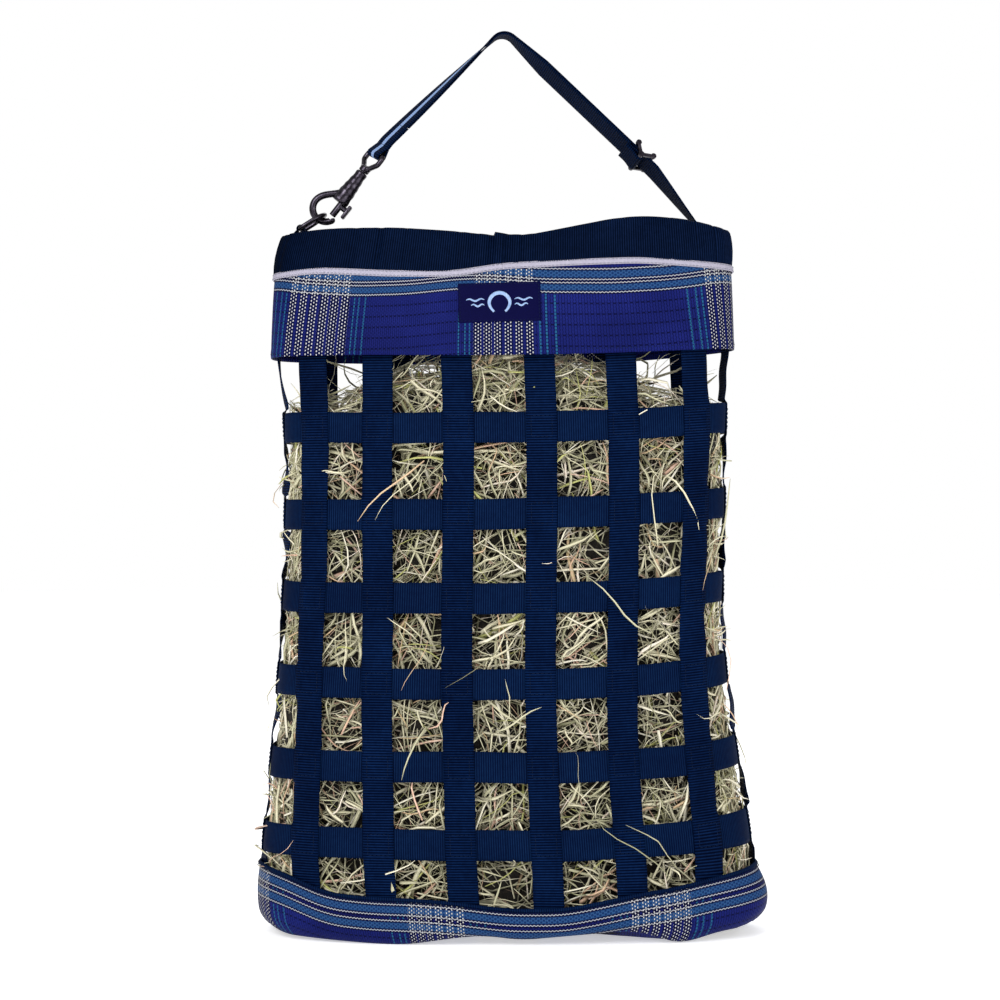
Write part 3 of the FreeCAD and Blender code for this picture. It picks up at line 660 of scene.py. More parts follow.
def hay_core_finish():
    finish = Finish("hay_shade")
    blades = finish.noise(260.0, 5.0, 0.75, (1.0, 1.0, 0.5))
    # Painted shade: the core is coloured near black to dark olive, as the shade inside the hay behind the
    # stems.
    base = finish.ramp(blades, [(0.4, "080503"), (0.6, "1A140B"), (0.75, "3A321E"), (0.9, "6B6240")])
    return finish.done(base, 0.9, blades * (2.0 * MM))


def paint(obj, material):
    obj.data.materials.clear()
    obj.data.materials.append(material)
    return obj


def dress(piece, material, slot, *nodes, body="bag", bend=None):
    """Paints a soft piece, puts it on one body or, when bend is given, only bakes its place into its mesh,
    and hides the nodes it replaces.
    """
    paint(piece, material)
    if bend:
        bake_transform(piece)
    else:
        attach(piece, body)
    if nodes:
        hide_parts(*nodes)


NAVY_UPRIGHT = webbing_finish("navy_webbing_upright", UPRIGHT_RIB, "000314", "020F2B", "0C244C")
NAVY_LEVEL = webbing_finish("navy_webbing_level", LEVEL_RIB, "020822", "041430", "0E2549")
HEM_CLOTH = webbing_finish("navy_hem", HEM_RIB, "010512", "030D23", "0E1E3E")
HANGER_CLOTH = webbing_finish("hanger_webbing", LEVEL_RIB, "010616", "030E26", "0B1E40")
STRIPED_CLOTH = webbing_finish("hanger_webbing_striped", LEVEL_RIB, "010616", "030E26", "0B1E40", "8EA6CE")
TRIM_CLOTH = trim_finish()
PLAID_UPPER = plaid_finish("plaid_upper", [(546.2 * MM, 551.8 * MM), (557.0 * MM, 563.5 * MM)])
PLAID_LOWER = plaid_finish("plaid_lower", [(-10.6 * MM, -4.6 * MM), (-23.7 * MM, -17.7 * MM)])
PLAID_BASE = plaid_finish("plaid_base", [])
LABEL_CLOTH = label_finish()
EMBLEM_THREAD = emblem_finish()
GUNMETAL = gunmetal_finish()
NAVY_THREAD = thread_finish("navy_thread", "081C40")
PALE_THREAD = thread_finish("pale_thread", "A4A6B4")


# ================================================================ straps

def level_heights():
    boxes = [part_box(f"level_strap_{index + 1}") for index in range(LEVEL_COUNT)]
    return [(low.z + high.z) / 2 for low, high in boxes]


LEVELS = level_heights()
LEVELS_AND_ENDS = np.array([16 * MM] + [z + step * MM for z in LEVELS for step in (-22, 22)] + [0.5])
END_UPRIGHTS = (3, 10)                # the uprights at the two ends of the bag hang loosest


def level_strap(index):
    """One ring of webbing round the bag."""
    middle = LEVELS[index]
    around = float(WALL.around(middle))
    rows = int(round(around / LEVEL_RIB)) * 2
    pitch = around / (rows / 2)
    share, across = round_grid(rows, np.linspace(0, WEB_WIDTH, 9))
    wander = 1.3 * MM * ripple(share, 0.0, SEED + 20 + index, 7)
    lean = 0.5 * MM * ripple(share, 0.0, SEED + 40 + index, 9) * (across / WEB_WIDTH - 0.5) * 2
    points, ways = net(share, middle - WEB_WIDTH / 2 + across + wander, LEVEL_MIDDLE + lean)
    half = WEB_THICK / 2 - 0.12 * MM + ribs(share * around, pitch, across, WEB_WIDTH, 0.14 * MM)
    lay = np.stack([share * around, across], -1)
    return sheet(f"level_strap_{index + 1}_cloth", points, ways, half, lay, True)


def upright_share(index, z):
    """Share round the bag of an upright's middle at height z, measured on its CAD strip."""
    co = corners_of(f"upright_strap_{index + 1:02d}")
    ring = co[np.abs(co[:, 2] - z) < 0.4 * MM][:, :2].mean(0)
    row = int(round((z - WALL.low) / WALL.step))
    around = WALL.table[row] + WALL.normal[row] * UPRIGHT_MIDDLE
    return np.argmin(np.hypot(*(around - ring).T)) / WALL.shares


def upright_lines():
    """For each upright, the bottom and top of its strip and its shares there."""
    low, high = [c.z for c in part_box("upright_strap_01")]
    lines = []
    for index in range(STRAP_COUNT):
        even = (index + 0.5) / STRAP_COUNT
        ends = [even + share_from(even, upright_share(index, z)) for z in (low, high)]
        lines.append((low, high, *ends))
    return lines


UPRIGHT_LINES = upright_lines()


def upright_middle(index, z):
    """Share round the bag of an upright's middle line, with a little sway."""
    low, high, foot, top = UPRIGHT_LINES[index]
    sway = 1.6 * MM * ripple(np.zeros_like(z) + 0.37 * index, z, SEED + 60 + index, 4, 14.0)
    return foot + (top - foot) * (z - low) / (high - low) + sway / WALL.around(z)


def upright_strap(index):
    """One upright, sewn over the rings from band to band."""
    low, high = [c.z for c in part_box(f"upright_strap_{index + 1:02d}")]
    rows = int((high - low) / UPRIGHT_RIB) * 2
    z = np.linspace(low, high, rows)
    across = np.linspace(0, WEB_WIDTH, 9)
    zz, aa = np.meshgrid(z, across, indexing="ij")
    share = upright_middle(index, zz) + (aa - WEB_WIDTH / 2) / WALL.around(zz)
    on_ring = np.zeros_like(zz)
    for middle in LEVELS:
        on_ring = np.maximum(on_ring, eased((1.35 - np.abs(zz - middle) / (WEB_WIDTH / 2)) / 0.35))
    free = 1 - on_ring
    rng = np.random.default_rng(SEED + 300 + index)
    loose = 3.2 if index in END_UPRIGHTS else 1.0
    turn = np.interp(zz, LEVELS_AND_ENDS, rng.uniform(-0.11, 0.11, len(LEVELS_AND_ENDS)) * loose)
    bow = loose * 0.9 * MM * ripple(np.zeros_like(zz), zz, SEED + 320 + index, 5, 60.0)
    sink = free * (0.9 * MM + (aa - WEB_WIDTH / 2) * turn + bow)
    points, ways = net(share, zz, UPRIGHT_MIDDLE - sink)
    half = WEB_THICK / 2 - 0.12 * MM + ribs(zz - low, UPRIGHT_RIB, aa, WEB_WIDTH, 0.14 * MM)
    return sheet(f"upright_strap_{index + 1:02d}_cloth", points, ways, half, np.stack([zz - low, aa], -1))


def outline(half_x, half_y, steps):
    """Corners and steps round a rectangle, ending where it starts."""
    side = np.linspace(-1, 1, steps, endpoint=False)
    one = np.ones(steps)
    turns = [np.stack(pair, -1) for pair in ((side, -one), (one, side), (-side, one), (-one, -side))]
    return np.concatenate(turns + [turns[0][:1]]) * (half_x, half_y)


def crossing_stitches():
    """A square of stitching at every crossing of an upright and a ring."""
    bits = Bits()
    square = outline(8.6 * MM, 8.6 * MM, 6)
    for middle in LEVELS:
        for index in range(STRAP_COUNT):
            z = middle + square[:, 1]
            share = upright_middle(index, z) + square[:, 0] / WALL.around(z)
            points, ways = net(share, z, UPRIGHT_MIDDLE + WEB_THICK / 2 + 0.05 * MM)
            thread(bits, points, ways, 2.6 * MM, 0.9 * MM, 0.24 * MM)
    return bits.piece("crossing_stitching")


def build_straps():
    for index in range(LEVEL_COUNT):
        dress(level_strap(index), NAVY_LEVEL, "navy_webbing", f"level_strap_{index + 1}")
    for index in range(STRAP_COUNT):
        dress(upright_strap(index), NAVY_UPRIGHT, "navy_webbing", f"upright_strap_{index + 1:02d}")
    dress(crossing_stitches(), NAVY_THREAD, "navy_webbing")


# ================================================================ bands, trim and hem

TRIM_LOW, TRIM_HIGH = [c.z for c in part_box("trim_ribbon")]
BAND_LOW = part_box("upper_mesh_band")[0].z
HEM_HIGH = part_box("hem_webbing")[1].z


def smooth_outline(x, points):
    """Height from a short outline of (x, height) points in millimetres, rounded between them."""
    xs, hs = np.array(points, float).T * MM
    value = np.zeros_like(x)
    for shift in np.linspace(-12, 12, 9) * MM:
        value = value + np.interp(x + shift, xs, hs)
    return value / 9


def front_of(ways):
    """1 on the front of the bag, 0 on the back, easing round the ends."""
    return eased(0.5 - ways[..., 1] * 1.4)


def front_and_back(x, ways, front, back):
    """Height from one outline on the front of the bag and another on the back."""
    ahead, behind = smooth_outline(x, front), smooth_outline(x, back)
    return behind + (ahead - behind) * front_of(ways)


def trim_shift(x, ways):
    """How far the trim wanders up or down."""
    front = [(-195, -2), (-160, 1), (-100, -2.5), (-45, -3), (-5, 3.5), (60, 7), (110, 9), (195, 5)]
    back = [(-195, -2), (-120, 3), (-40, 5), (30, -1), (110, 2), (195, 5)]
    return front_and_back(x, ways, front, back)


def hem_top(x, ways):
    """How far the hem's top edge rises or dips, with a step in front where its two ends overlap."""
    front = [(-190, -2), (-150, 1), (-95, 1), (-50, -2), (-8, -6), (15, -6), (50, 1), (90, 9), (115, 11),
             (150, 9), (188, 1)]
    back = [(-190, -2), (-110, 5), (-30, 3), (40, -3), (120, 4), (188, 1)]
    past_seam = x + 12 * MM
    overlap = np.where(past_seam > 0, 2.8 * MM * np.exp(-past_seam / (15 * MM)), 0.0)
    return front_and_back(x, ways, front, back) + overlap * front_of(ways)


def trim_middle(x, ways):
    return (TRIM_LOW + TRIM_HIGH) / 2 + trim_shift(x, ways)


def seat(share, z):
    """The wall's point and outward direction, without the hay's push, used to place bands and hem."""
    return WALL.at(share, z, 0.0)


def upper_band_fold(share, down):
    """How far the skirt of the upper band stands off: ripples that grow towards its free edge."""
    return (0.8 + 1.6 * ripple(share, 0.0, SEED + 81, 8)) * down * down * MM + 2.0 * MM * down


def pulled(along, around):
    """Place in the weave at a distance round the upper band, which is stretched unevenly in front."""
    half = around / 2
    blocks = np.array([-half, -0.180, -0.126, -0.024, 0.026, 0.172, 0.224, half])
    weave = np.array([-2.5, -1.134, -0.866, -0.134, 0.134, 0.866, 1.134, 2.5]) * BLOCK_PERIOD
    return np.interp(along, blocks, weave)


def stripe_sag(x, ways):
    """How far the level stripes wander down: the cloth is cut and sewn slightly off its weave."""
    front = [(-195, 0), (-175, 5.5), (-126, 9.4), (-84, 8.5), (-41, 4), (-20, 3.5), (31, 7), (88, 7),
             (131, 4), (159, 0), (175, -4), (190, -5)]
    back = [(-195, 0), (-100, 7), (10, 3), (110, 7), (190, -5)]
    return front_and_back(x, ways, front, back)


def upper_band():
    share, down = round_grid(620, np.linspace(0, 1, 27))
    flat, ways = seat(share, BAND_LOW + 35 * MM)
    top = trim_middle(flat[..., 0], ways)
    low = BAND_LOW + rise(flat[..., 0], BAND_LOW) + 0.8 * MM * ripple(share, 0.0, SEED + 83, 9)
    z = top + (low - top) * down
    points, ways = WALL.at(share, z, BAND_MIDDLE + 0.9 * MM + upper_band_fold(share, down))
    around = float(WALL.around(BAND_LOW + 35 * MM))
    along = share_from(0, share) * around
    half = np.full(z.shape, MESH_THICK / 2)
    half[:, -3:] *= 1.5
    lay = np.stack([pulled(along, around), z + stripe_sag(flat[..., 0], ways)], -1)
    return sheet("upper_mesh_band_cloth", points, ways, half, lay, True, 0.6)


def lower_weave(along, around):
    """Place in the weave at a distance round the lower band."""
    half = around / 2
    turn = 2 + 2 * (half - 0.310) / (around - 0.535)
    return np.interp(along, [-half, -0.225, -0.062, 0.124, 0.310, half],
                     np.array([turn - 5, -1, 0, 1, 2, turn]) * BLOCK_PERIOD)


def lower_band_top(x, ways):
    """The lower band dips in the middle of the front and back, and its edge waves a little."""
    low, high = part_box("base_binding")
    dip, end = 31.0 * MM, high.z - 1.0 * MM
    plain = dip + (end - dip) * np.minimum(np.abs(x - 3 * MM) / 0.208, 1.0) ** 2.0
    wave = smooth_outline(x, [(-212, 3), (-185, 4), (-147, -3), (-116, -1), (-80, 2.5), (-48, 3), (0, -1.5),
                              (46, -2.5), (77, 1), (105, 4), (138, 4), (165, 5), (205, 3)])
    return plain + wave * front_of(ways)


def lower_band_lift(x, ways, share):
    """How far the lower band's bottom edge is lifted off the floor: it rucks between its resting places."""
    rucks = [(-212, 14), (-195, 4), (-150, 2), (-110, 0), (-85, 0), (-45, 6), (-20, 8), (10, 4), (45, 7),
             (90, 11), (112, 10), (135, 1), (152, 0), (172, 7), (195, 9), (215, 14)]
    front = smooth_outline(x, rucks)
    back = np.clip(3.5 * MM * (ripple(share, 0.0, SEED + 91, 7) + 0.35), 0, 7 * MM)
    return back + (front - back) * front_of(ways)


def lower_band():
    share, down = round_grid(640, np.linspace(0, 1, 24))
    flat, ways = seat(share, 30 * MM)
    top = lower_band_top(flat[..., 0], ways)
    lift = lower_band_lift(flat[..., 0], ways, share)
    z = top + (lift - top) * down
    tuck = np.clip((down - 0.72) / 0.28, 0, 1)
    full = 2.6 * MM + 4.0 * MM * (np.clip(flat[..., 0], 0, None) / 0.2) ** 4
    swell = full * np.sin(np.pi * down) + 1.5 * MM * ripple(share, 0.0, SEED + 93, 9) * down
    points, ways = WALL.at(share, z, BAND_MIDDLE + swell - 5.0 * MM * tuck ** 2)
    around = float(WALL.around(30 * MM))
    along = share_from(0, share) * around
    lay = np.stack([lower_weave(along, around), z - top], -1)
    return sheet("lower_mesh_band_cloth", points, ways, MESH_THICK / 2, lay, True)


def binding():
    """Tape folded over the lower band's top edge."""
    share, turn = round_grid(640, np.radians([215, 180, 150, 120, 90, 60, 30, 0, -35]))
    flat, ways = seat(share, 30 * MM)
    top = lower_band_top(flat[..., 0], ways)
    drop = np.where(np.sin(turn) < 0, 1.5 * MM * np.abs(np.sin(turn)) / 0.57, 0.0)
    z = top + 1.2 * MM * np.clip(np.sin(turn), 0, 1) - drop + 0.5 * MM
    out = BAND_MIDDLE + 0.6 * MM + 1.2 * MM * np.cos(turn) + 0.3 * MM * ripple(share, 0.0, SEED + 95, 9)
    points, ways = WALL.at(share, z, out)
    lift = np.stack([np.zeros_like(turn)] * 2 + [np.sin(turn)], -1)
    normals = unit(ways * np.cos(turn)[..., None] + lift)
    lay = np.stack([share * float(WALL.around(30 * MM)), np.broadcast_to(turn * 3 * MM, share.shape)], -1)
    return sheet("base_binding_cloth", points, normals, 0.45 * MM, lay, True)


def base_panel():
    """Bottom sheet, sagging slightly clear of the floor in the middle of each half."""
    rings, around = 25, 160
    inward, share = round_grid(rings, np.arange(around) / around)
    rim, ways = WALL.at(share, 2 * MM, BAND_MIDDLE - 5.5 * MM)
    hub = np.array([rim[0, :, 0].mean(), 0.0, 1.4 * MM])
    points = rim * (1 - inward[..., None]) + hub * inward[..., None]
    edge = lower_band_lift(rim[..., 0], ways, share) * np.clip(1 - inward * 1.6, 0, 1) ** 1.5
    sag = 1.2 * MM * np.sin(np.pi * inward) * (0.5 + 0.5 * ripple(share, inward, SEED + 97))
    points[..., 2] = hub[2] + edge + sag
    face = np.concatenate([points.reshape(-1, 3), [hub]])
    size, thick = len(face), np.array([0, 0, 0.4 * MM])
    outermost = np.arange(around)
    innermost = outermost + (rings - 1) * around
    quads = [grid_faces(rings, around, wrap_cols=True), edge_faces(outermost, size, True, False),
             grid_faces(rings, around, wrap_cols=True, first=size, flip=True)]
    tris = [fan(size - 1, innermost, True), fan(2 * size - 1, size + innermost)]
    lay = np.concatenate([face[:, :2], np.ones((size, 1))], -1)
    return new_piece("base_panel_cloth", [face + thick, face - thick], np.concatenate(quads),
                     np.concatenate(tris), lay=np.concatenate([lay, lay]))


def trim_wave(share):
    """How far the trim stands in or out round the bag."""
    return 0.35 * MM * ripple(share, 0.0, SEED + 99, 9)


def trim():
    width = 5.4 * MM
    share, across = round_grid(900, np.linspace(0, width, 7))
    flat, ways = seat(share, TRIM_LOW)
    z = trim_middle(flat[..., 0], ways) - width / 2 + across
    crown = 0.5 * MM * np.sin(np.pi * across / width)
    points, ways = WALL.at(share, z, BAND_MIDDLE + 2.0 * MM + crown + trim_wave(share))
    lay = np.stack([share * float(WALL.around(TRIM_LOW)), across], -1)
    return sheet("trim_ribbon_cloth", points, ways, 0.5 * MM, lay, True)


def gathers(share):
    """Creases where the hem is drawn in: narrow valleys at uneven places, and a cluster by the seam."""
    rng = np.random.default_rng(SEED + 101)
    creases = [(rng.uniform(0, 1), rng.uniform(0.0014, 0.0050), rng.uniform(0.3, 1.9)) for _ in range(46)]
    cluster = [(-0.15, 2.4), (-0.125, 2.0), (-0.045, 2.2), (-0.028, 2.4), (-0.013, 2.2), (0.004, 2.4),
               (0.018, 2.0), (0.03, 1.5)]
    creases += [(place, 0.0032, deep) for place, deep in cluster]
    depth = sum(deep * np.exp(-(share_from(place, share) / wide) ** 2) for place, wide, deep in creases)
    return depth * MM


def hem():
    """Gathered, ribbed hem: a rounded double fold of webbing round the mouth."""
    around = float(WALL.around(575 * MM))
    rows = int(round(around / HEM_RIB)) * 2
    outer = [(level, 1.0) for level in (0.0, 0.12, 0.3, 0.5, 0.7)] + [(0.86, 0.97), (0.95, 0.8), (1.0, 0.35)]
    inner = [(1.0, -0.35), (0.95, -0.8), (0.86, -0.97)] + [(level, -1.0) for level in (0.6, 0.3, 0.0)]
    profile = np.array(outer + inner)
    share, level = round_grid(rows, profile[:, 0])
    side = np.broadcast_to(profile[:, 1], share.shape)
    flat, ways = seat(share, HEM_HIGH - 17 * MM)
    top = HEM_HIGH + hem_top(flat[..., 0], ways)
    low = trim_middle(flat[..., 0], ways) - 1.5 * MM
    rib = 0.24 * MM * np.cos(np.pi * np.arange(rows))[:, None] * np.sign(side)
    belly = 1.1 * MM * np.sin(np.pi * level) + 0.9 * MM * ripple(share, level * 0.1, SEED + 105, 9)
    out = 3.6 * MM + belly + side * (2.0 * MM + belly * 0.5) - gathers(share) * (0.55 + 0.45 * level) + rib
    points, _ = WALL.at(share, low + (top - low) * level, out)
    quads = grid_faces(rows, len(profile), True, True)
    lay = np.stack([share * around, np.where(side > 0, level, 2 - level) * 36 * MM, np.sign(side)], -1)
    return new_piece("hem_webbing_cloth", points, quads, lay=lay.reshape(-1, 3))


def band_stitches():
    """Rows of stitching round the bag: hem, both edges of the trim, band and binding."""
    bits = Bits()
    share = np.arange(1500) / 1499
    flat, ways = seat(share, TRIM_LOW)
    trim_z = trim_middle(flat[:, 0], ways)
    for side in (1.7 * MM, -1.7 * MM):
        points, ways = WALL.at(share, trim_z + side, BAND_MIDDLE + 2.9 * MM + trim_wave(share))
        thread(bits, points, ways, 2.4 * MM, 0.9 * MM, 0.2 * MM)
    pale = bits.piece("trim_stitching")
    bits = Bits()
    low = BAND_LOW + rise(flat[:, 0], BAND_LOW) + 4.0 * MM
    skirt = WALL.at(share, low, BAND_MIDDLE + 1.5 * MM + upper_band_fold(share, 0.94))
    flat, ways = seat(share, 30 * MM)
    bottom = WALL.at(share, lower_band_top(flat[:, 0], ways) - 1.6 * MM, BAND_MIDDLE + 2.4 * MM)
    for points, ways in (skirt, bottom):
        thread(bits, points, ways, 3.0 * MM, 1.0 * MM, 0.25 * MM)
    return pale, bits.piece("band_stitching")


def build_bands():
    dress(upper_band(), PLAID_UPPER, "plaid_mesh", "upper_mesh_band")
    dress(lower_band(), PLAID_LOWER, "plaid_mesh", "lower_mesh_band")
    dress(base_panel(), PLAID_BASE, "plaid_mesh", "base_panel")
    dress(binding(), NAVY_LEVEL, "navy_webbing", "base_binding")
    dress(trim(), TRIM_CLOTH, "trim_ribbon", "trim_ribbon")
    dress(hem(), HEM_CLOTH, "hem_webbing", "hem_webbing")
    pale, navy = band_stitches()
    dress(pale, PALE_THREAD, "trim_ribbon")
    dress(navy, NAVY_THREAD, "navy_webbing")


# ================================================================ label

LABEL_TURN = math.radians(1.6)


def on_label(x, y, out):
    """Points on the label from flat coordinates measured from its middle."""
    low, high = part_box("label_patch")
    x, y = np.asarray(x, float), np.asarray(y, float)
    c, s = math.cos(LABEL_TURN), math.sin(LABEL_TURN)
    along = x * c - y * s + (low.x + high.x) / 2 + 4 * MM
    z = x * s + y * c + (low.z + high.z) / 2
    share = along / WALL.around(z)
    down = np.clip((TRIM_LOW - z) / (TRIM_LOW - BAND_LOW), 0, 1)
    return WALL.at(share, z, BAND_MIDDLE + 0.9 * MM + upper_band_fold(share, down) + 0.9 * MM + out)


def label():
    half_x, half_y = 34.0 * MM, 16.5 * MM
    x, y = np.meshgrid(np.linspace(-half_x, half_x, 69), np.linspace(-half_y, half_y, 34), indexing="ij")
    pillow = 0.5 * MM * (1 - (x / half_x) ** 6) * (1 - (y / half_y) ** 6)
    points, ways = on_label(x, y, pillow)
    return sheet("label_cloth", points, ways, 0.35 * MM, np.stack([x, y], -1))


def satin_bar(bits, xs, ys, widths):
    """A raised embroidered line on the label."""
    points, ways = on_label(xs, ys, 0.75 * MM)
    side = np.cross(ways, unit(np.gradient(points, axis=0)))
    bits.add(*bar(points, side * widths[:, None], ways * 0.45 * MM, 8))


def emblem():
    """A plain horseshoe between two wavy bars: a generic sign, with no lettering."""
    bits = Bits()
    turn = np.radians(np.linspace(-52, 232, 60))
    radius = 8.6 * MM
    pinch = 1 - 0.16 * np.clip(-np.sin(turn), 0, 1)
    widths = (1.1 + 0.9 * np.clip(np.sin(turn) * 0.6 + 0.4, 0, 1)) * MM
    satin_bar(bits, radius * np.cos(turn) * pinch, radius * np.sin(turn) - 1.2 * MM, widths)
    for side in (-1, 1):
        t = np.linspace(0, 1, 40)
        for level, length in ((2.2, 15.0), (-2.4, 11.0)):
            x = side * (12.5 + length * t) * MM
            y = (level + 0.9 * np.sin(2 * np.pi * t * 1.5)) * MM
            satin_bar(bits, x, y, (0.25 + 0.65 * np.sin(np.pi * t) ** 0.7) * MM)
    return bits.piece("label_emblem")


def label_stitches():
    bits = Bits()
    corners = outline(32.6 * MM, 15.1 * MM, 29)
    points, ways = on_label(corners[:, 0], corners[:, 1], 0.45 * MM)
    thread(bits, points, ways, 2.2 * MM, 0.8 * MM, 0.2 * MM)
    return bits.piece("label_stitching")


def build_label():
    dress(label(), LABEL_CLOTH, "label", "label_patch")
    dress(emblem(), EMBLEM_THREAD, "label")
    dress(label_stitches(), NAVY_THREAD, "label")


# ================================================================ hanger

SNAP_ORIGIN = np.array(JOINTS["snap_swivel"]["pos_m"])
SNAP_DOWN = unit(np.array(JOINTS["snap_swivel"]["axis"]))
EYE_WIRE = 2.25 * MM
LEG_WAY = -unit(np.array(JOINTS["slider_slide"]["axis"]))
STRAP_EYE = SNAP_ORIGIN - SNAP_DOWN * 8 * MM
STRAP_EASE = STRAP_EYE - SNAP_DOWN * 15 * MM
STRAP_KINK = np.array([124.0, 0.0, 645.5]) * MM
STRAP_APEX = STRAP_KINK - LEG_WAY * 176.4 * MM
STRAP_FOOT = np.array([161.5, 0.0, 599.5]) * MM
SEWN_TOP = np.array([178.0, 0.0, 580.0]) * MM
SEWN_END = np.array([180.6, 0.0, 561.0]) * MM
TWIST_EYE, TWIST_RIGHT = math.radians(30), math.radians(-20)
TWIST_SETTLE = 45 * MM
SLIDER_FROM_KINK = 17 * MM
LAYER_LIFT = 0.8 * MM


def rounded(corners, radii, step=0.4 * MM):
    """Evenly spaced points (x, z) along a bent line with rounded corners."""
    flat = [np.array([c[0], c[2]]) for c in corners]
    points = [flat[0]]
    for before, corner, after, radius in zip(flat, flat[1:], flat[2:], radii):
        a, b = unit(before - corner), unit(after - corner)
        half = math.acos(float(a @ b)) / 2
        centre = corner + unit(a + b) * radius / math.sin(half)
        start, end = corner + a * radius / math.tan(half), corner + b * radius / math.tan(half)
        a0, a1 = [math.atan2(*(p - centre)[::-1]) for p in (start, end)]
        turn = (a1 - a0 + math.pi) % (2 * math.pi) - math.pi
        for angle in a0 + turn * np.linspace(0, 1, 14):
            points.append(centre + radius * np.array([math.cos(angle), math.sin(angle)]))
    points.append(flat[-1])
    points = np.array(points)
    run = run_of(points)
    even = np.arange(0, run[-1], step)
    return np.stack([np.interp(even, run, points[:, 0]), np.interp(even, run, points[:, 1])], -1), even


class HangerLine:
    """The strap's middle line with direction, outward normal and width direction."""

    def __init__(self):
        corners = [STRAP_EYE, STRAP_EASE, STRAP_APEX, STRAP_KINK, STRAP_FOOT, SEWN_TOP, SEWN_END]
        self.points, self.run = rounded(corners, [0.03, 0.012, 0.03, 0.06, 0.012])
        self.total = self.run[-1]
        self.apex = self.nearest(STRAP_APEX)
        self.kink = self.nearest(STRAP_KINK)
        self.foot = self.nearest(STRAP_FOOT)
        self.slider = self.kink - SLIDER_FROM_KINK

    def nearest(self, point):
        return self.run[np.argmin(np.linalg.norm(self.points - point[[0, 2]], axis=1))]

    def frame(self, length):
        """Centres, directions, outward normals and width directions at an array of lengths."""
        length = np.asarray(length, float)
        x, z = [np.interp(length, self.run, self.points[:, k]) for k in (0, 1)]
        step = 1.5 * MM
        ahead = [np.interp(length + step, self.run, self.points[:, k]) for k in (0, 1)]
        behind = [np.interp(length - step, self.run, self.points[:, k]) for k in (0, 1)]
        along = unit(np.stack([ahead[0] - behind[0], np.zeros_like(x), ahead[1] - behind[1]], -1))
        outward = np.stack([-along[:, 2], np.zeros_like(x), along[:, 0]], -1)
        left = TWIST_EYE * (1 - (length / self.apex) ** 2)
        right = TWIST_RIGHT * np.minimum((length - self.apex) / TWIST_SETTLE, 1.0)
        lower = TWIST_RIGHT * np.clip(1 - (length - self.kink) / (self.foot - self.kink), 0, 1)
        turn = np.where(length < self.apex, left, np.where(length < self.kink, right, lower))[:, None]
        normal = outward * np.cos(turn) + np.cross(along, outward) * np.sin(turn)
        return np.stack([x, np.zeros_like(x), z], -1), along, normal, np.cross(along, normal)


LINE = HangerLine()


def strap_sheet(name, centres, normals, acrosses, along, width=WEB_WIDTH):
    cols = 11
    side = np.linspace(-0.5, 0.5, cols) * width
    points = centres[:, None] + acrosses[:, None] * side[None, :, None]
    ways = np.repeat(normals[:, None], cols, 1)
    aa, bb = np.meshgrid(along, side + width / 2, indexing="ij")
    half = WEB_THICK / 2 - 0.12 * MM + ribs(aa, LEVEL_RIB, bb, width, 0.13 * MM)
    return sheet(name, points, ways, half, np.stack([aa, bb], -1))


def lengths(start, end):
    return np.linspace(start, end, max(2, int(abs(end - start) / (LEVEL_RIB / 2)) + 1))


def outer_layer():
    """Striped webbing from its sewn end in the hem, through the slider and over the top to the snap's eye."""
    at = lengths(LINE.total, 9 * MM)
    centre, _, normal, across = LINE.frame(at)
    hug = np.clip((at - (LINE.kink - 0.005)) / 0.05, 0, 1)
    centres = [centre + normal * (LAYER_LIFT * (1 - hug))[:, None]]
    normals, acrosses, run = [normal], [across], [LINE.total - at]
    eye, along, out, across0 = [v[0] for v in LINE.frame([0.0])]
    radius = EYE_WIRE + 0.5 * MM + WEB_THICK / 2
    turn = np.radians(np.linspace(70, 290, 26))
    ring = along * np.cos(turn)[:, None] + out * np.sin(turn)[:, None]
    centres.append(eye + ring * radius)
    normals.append(ring)
    acrosses.append(np.repeat(across0[None], 26, 0))
    run.append(run[0][-1] + radius * (turn - turn[0]) + 7 * MM)
    at = lengths(9 * MM, 34 * MM)
    centre, _, normal, across = LINE.frame(at)
    centres.append(centre - normal * LAYER_LIFT)
    normals.append(-normal)
    acrosses.append(across)
    run.append(run[1][-1] + 7 * MM + at - at[0])
    joined = [np.concatenate(v) for v in (centres, normals, acrosses, run)]
    return strap_sheet("hanger_webbing_outer", *joined)


def return_layer():
    """Plain under layer, between the stitching above the snap's eye and the slider's loop; it is built at one
    length, though the real one shortens and lengthens as the slider moves.
    """
    at = lengths(34.6 * MM, LINE.slider - 13 * MM)
    centre, _, normal, across = LINE.frame(at)
    return strap_sheet("hanger_webbing_return", centre - normal * LAYER_LIFT, -normal, across, at)


def slider_loop_cloth():
    """The under layer's end, round the slider's middle bar and stitched to itself."""
    centre, along, normal, across = [v[0] for v in LINE.frame([LINE.slider])]
    bar = centre - normal * 3.4 * MM
    radius = 1.5 * MM + 0.3 * MM + WEB_THICK / 2
    turn = np.radians(np.linspace(-95, 95, 22))
    ring = along * np.cos(turn)[:, None] + normal * np.sin(turn)[:, None]
    path, normals = [bar + ring * radius], [ring]
    tail = np.linspace(2 * MM, 15 * MM, 14)
    ease = eased(tail / (9 * MM))
    low = bar - along * tail[:, None] - normal * (radius - (radius - 3.4 * MM + 2.4 * MM) * ease)[:, None]
    high = bar - along * tail[:, None] + normal * (radius + (0.65 * MM - radius + 0.5 * MM) * ease)[:, None]
    centres = np.concatenate([low[::-1], path[0], high])
    normals = np.concatenate([np.repeat(-normal[None], 14, 0), ring, np.repeat(normal[None], 14, 0)])
    run = run_of(centres)
    return strap_sheet("slider_loop_cloth", centres, normals, np.repeat(across[None], len(centres), 0), run)


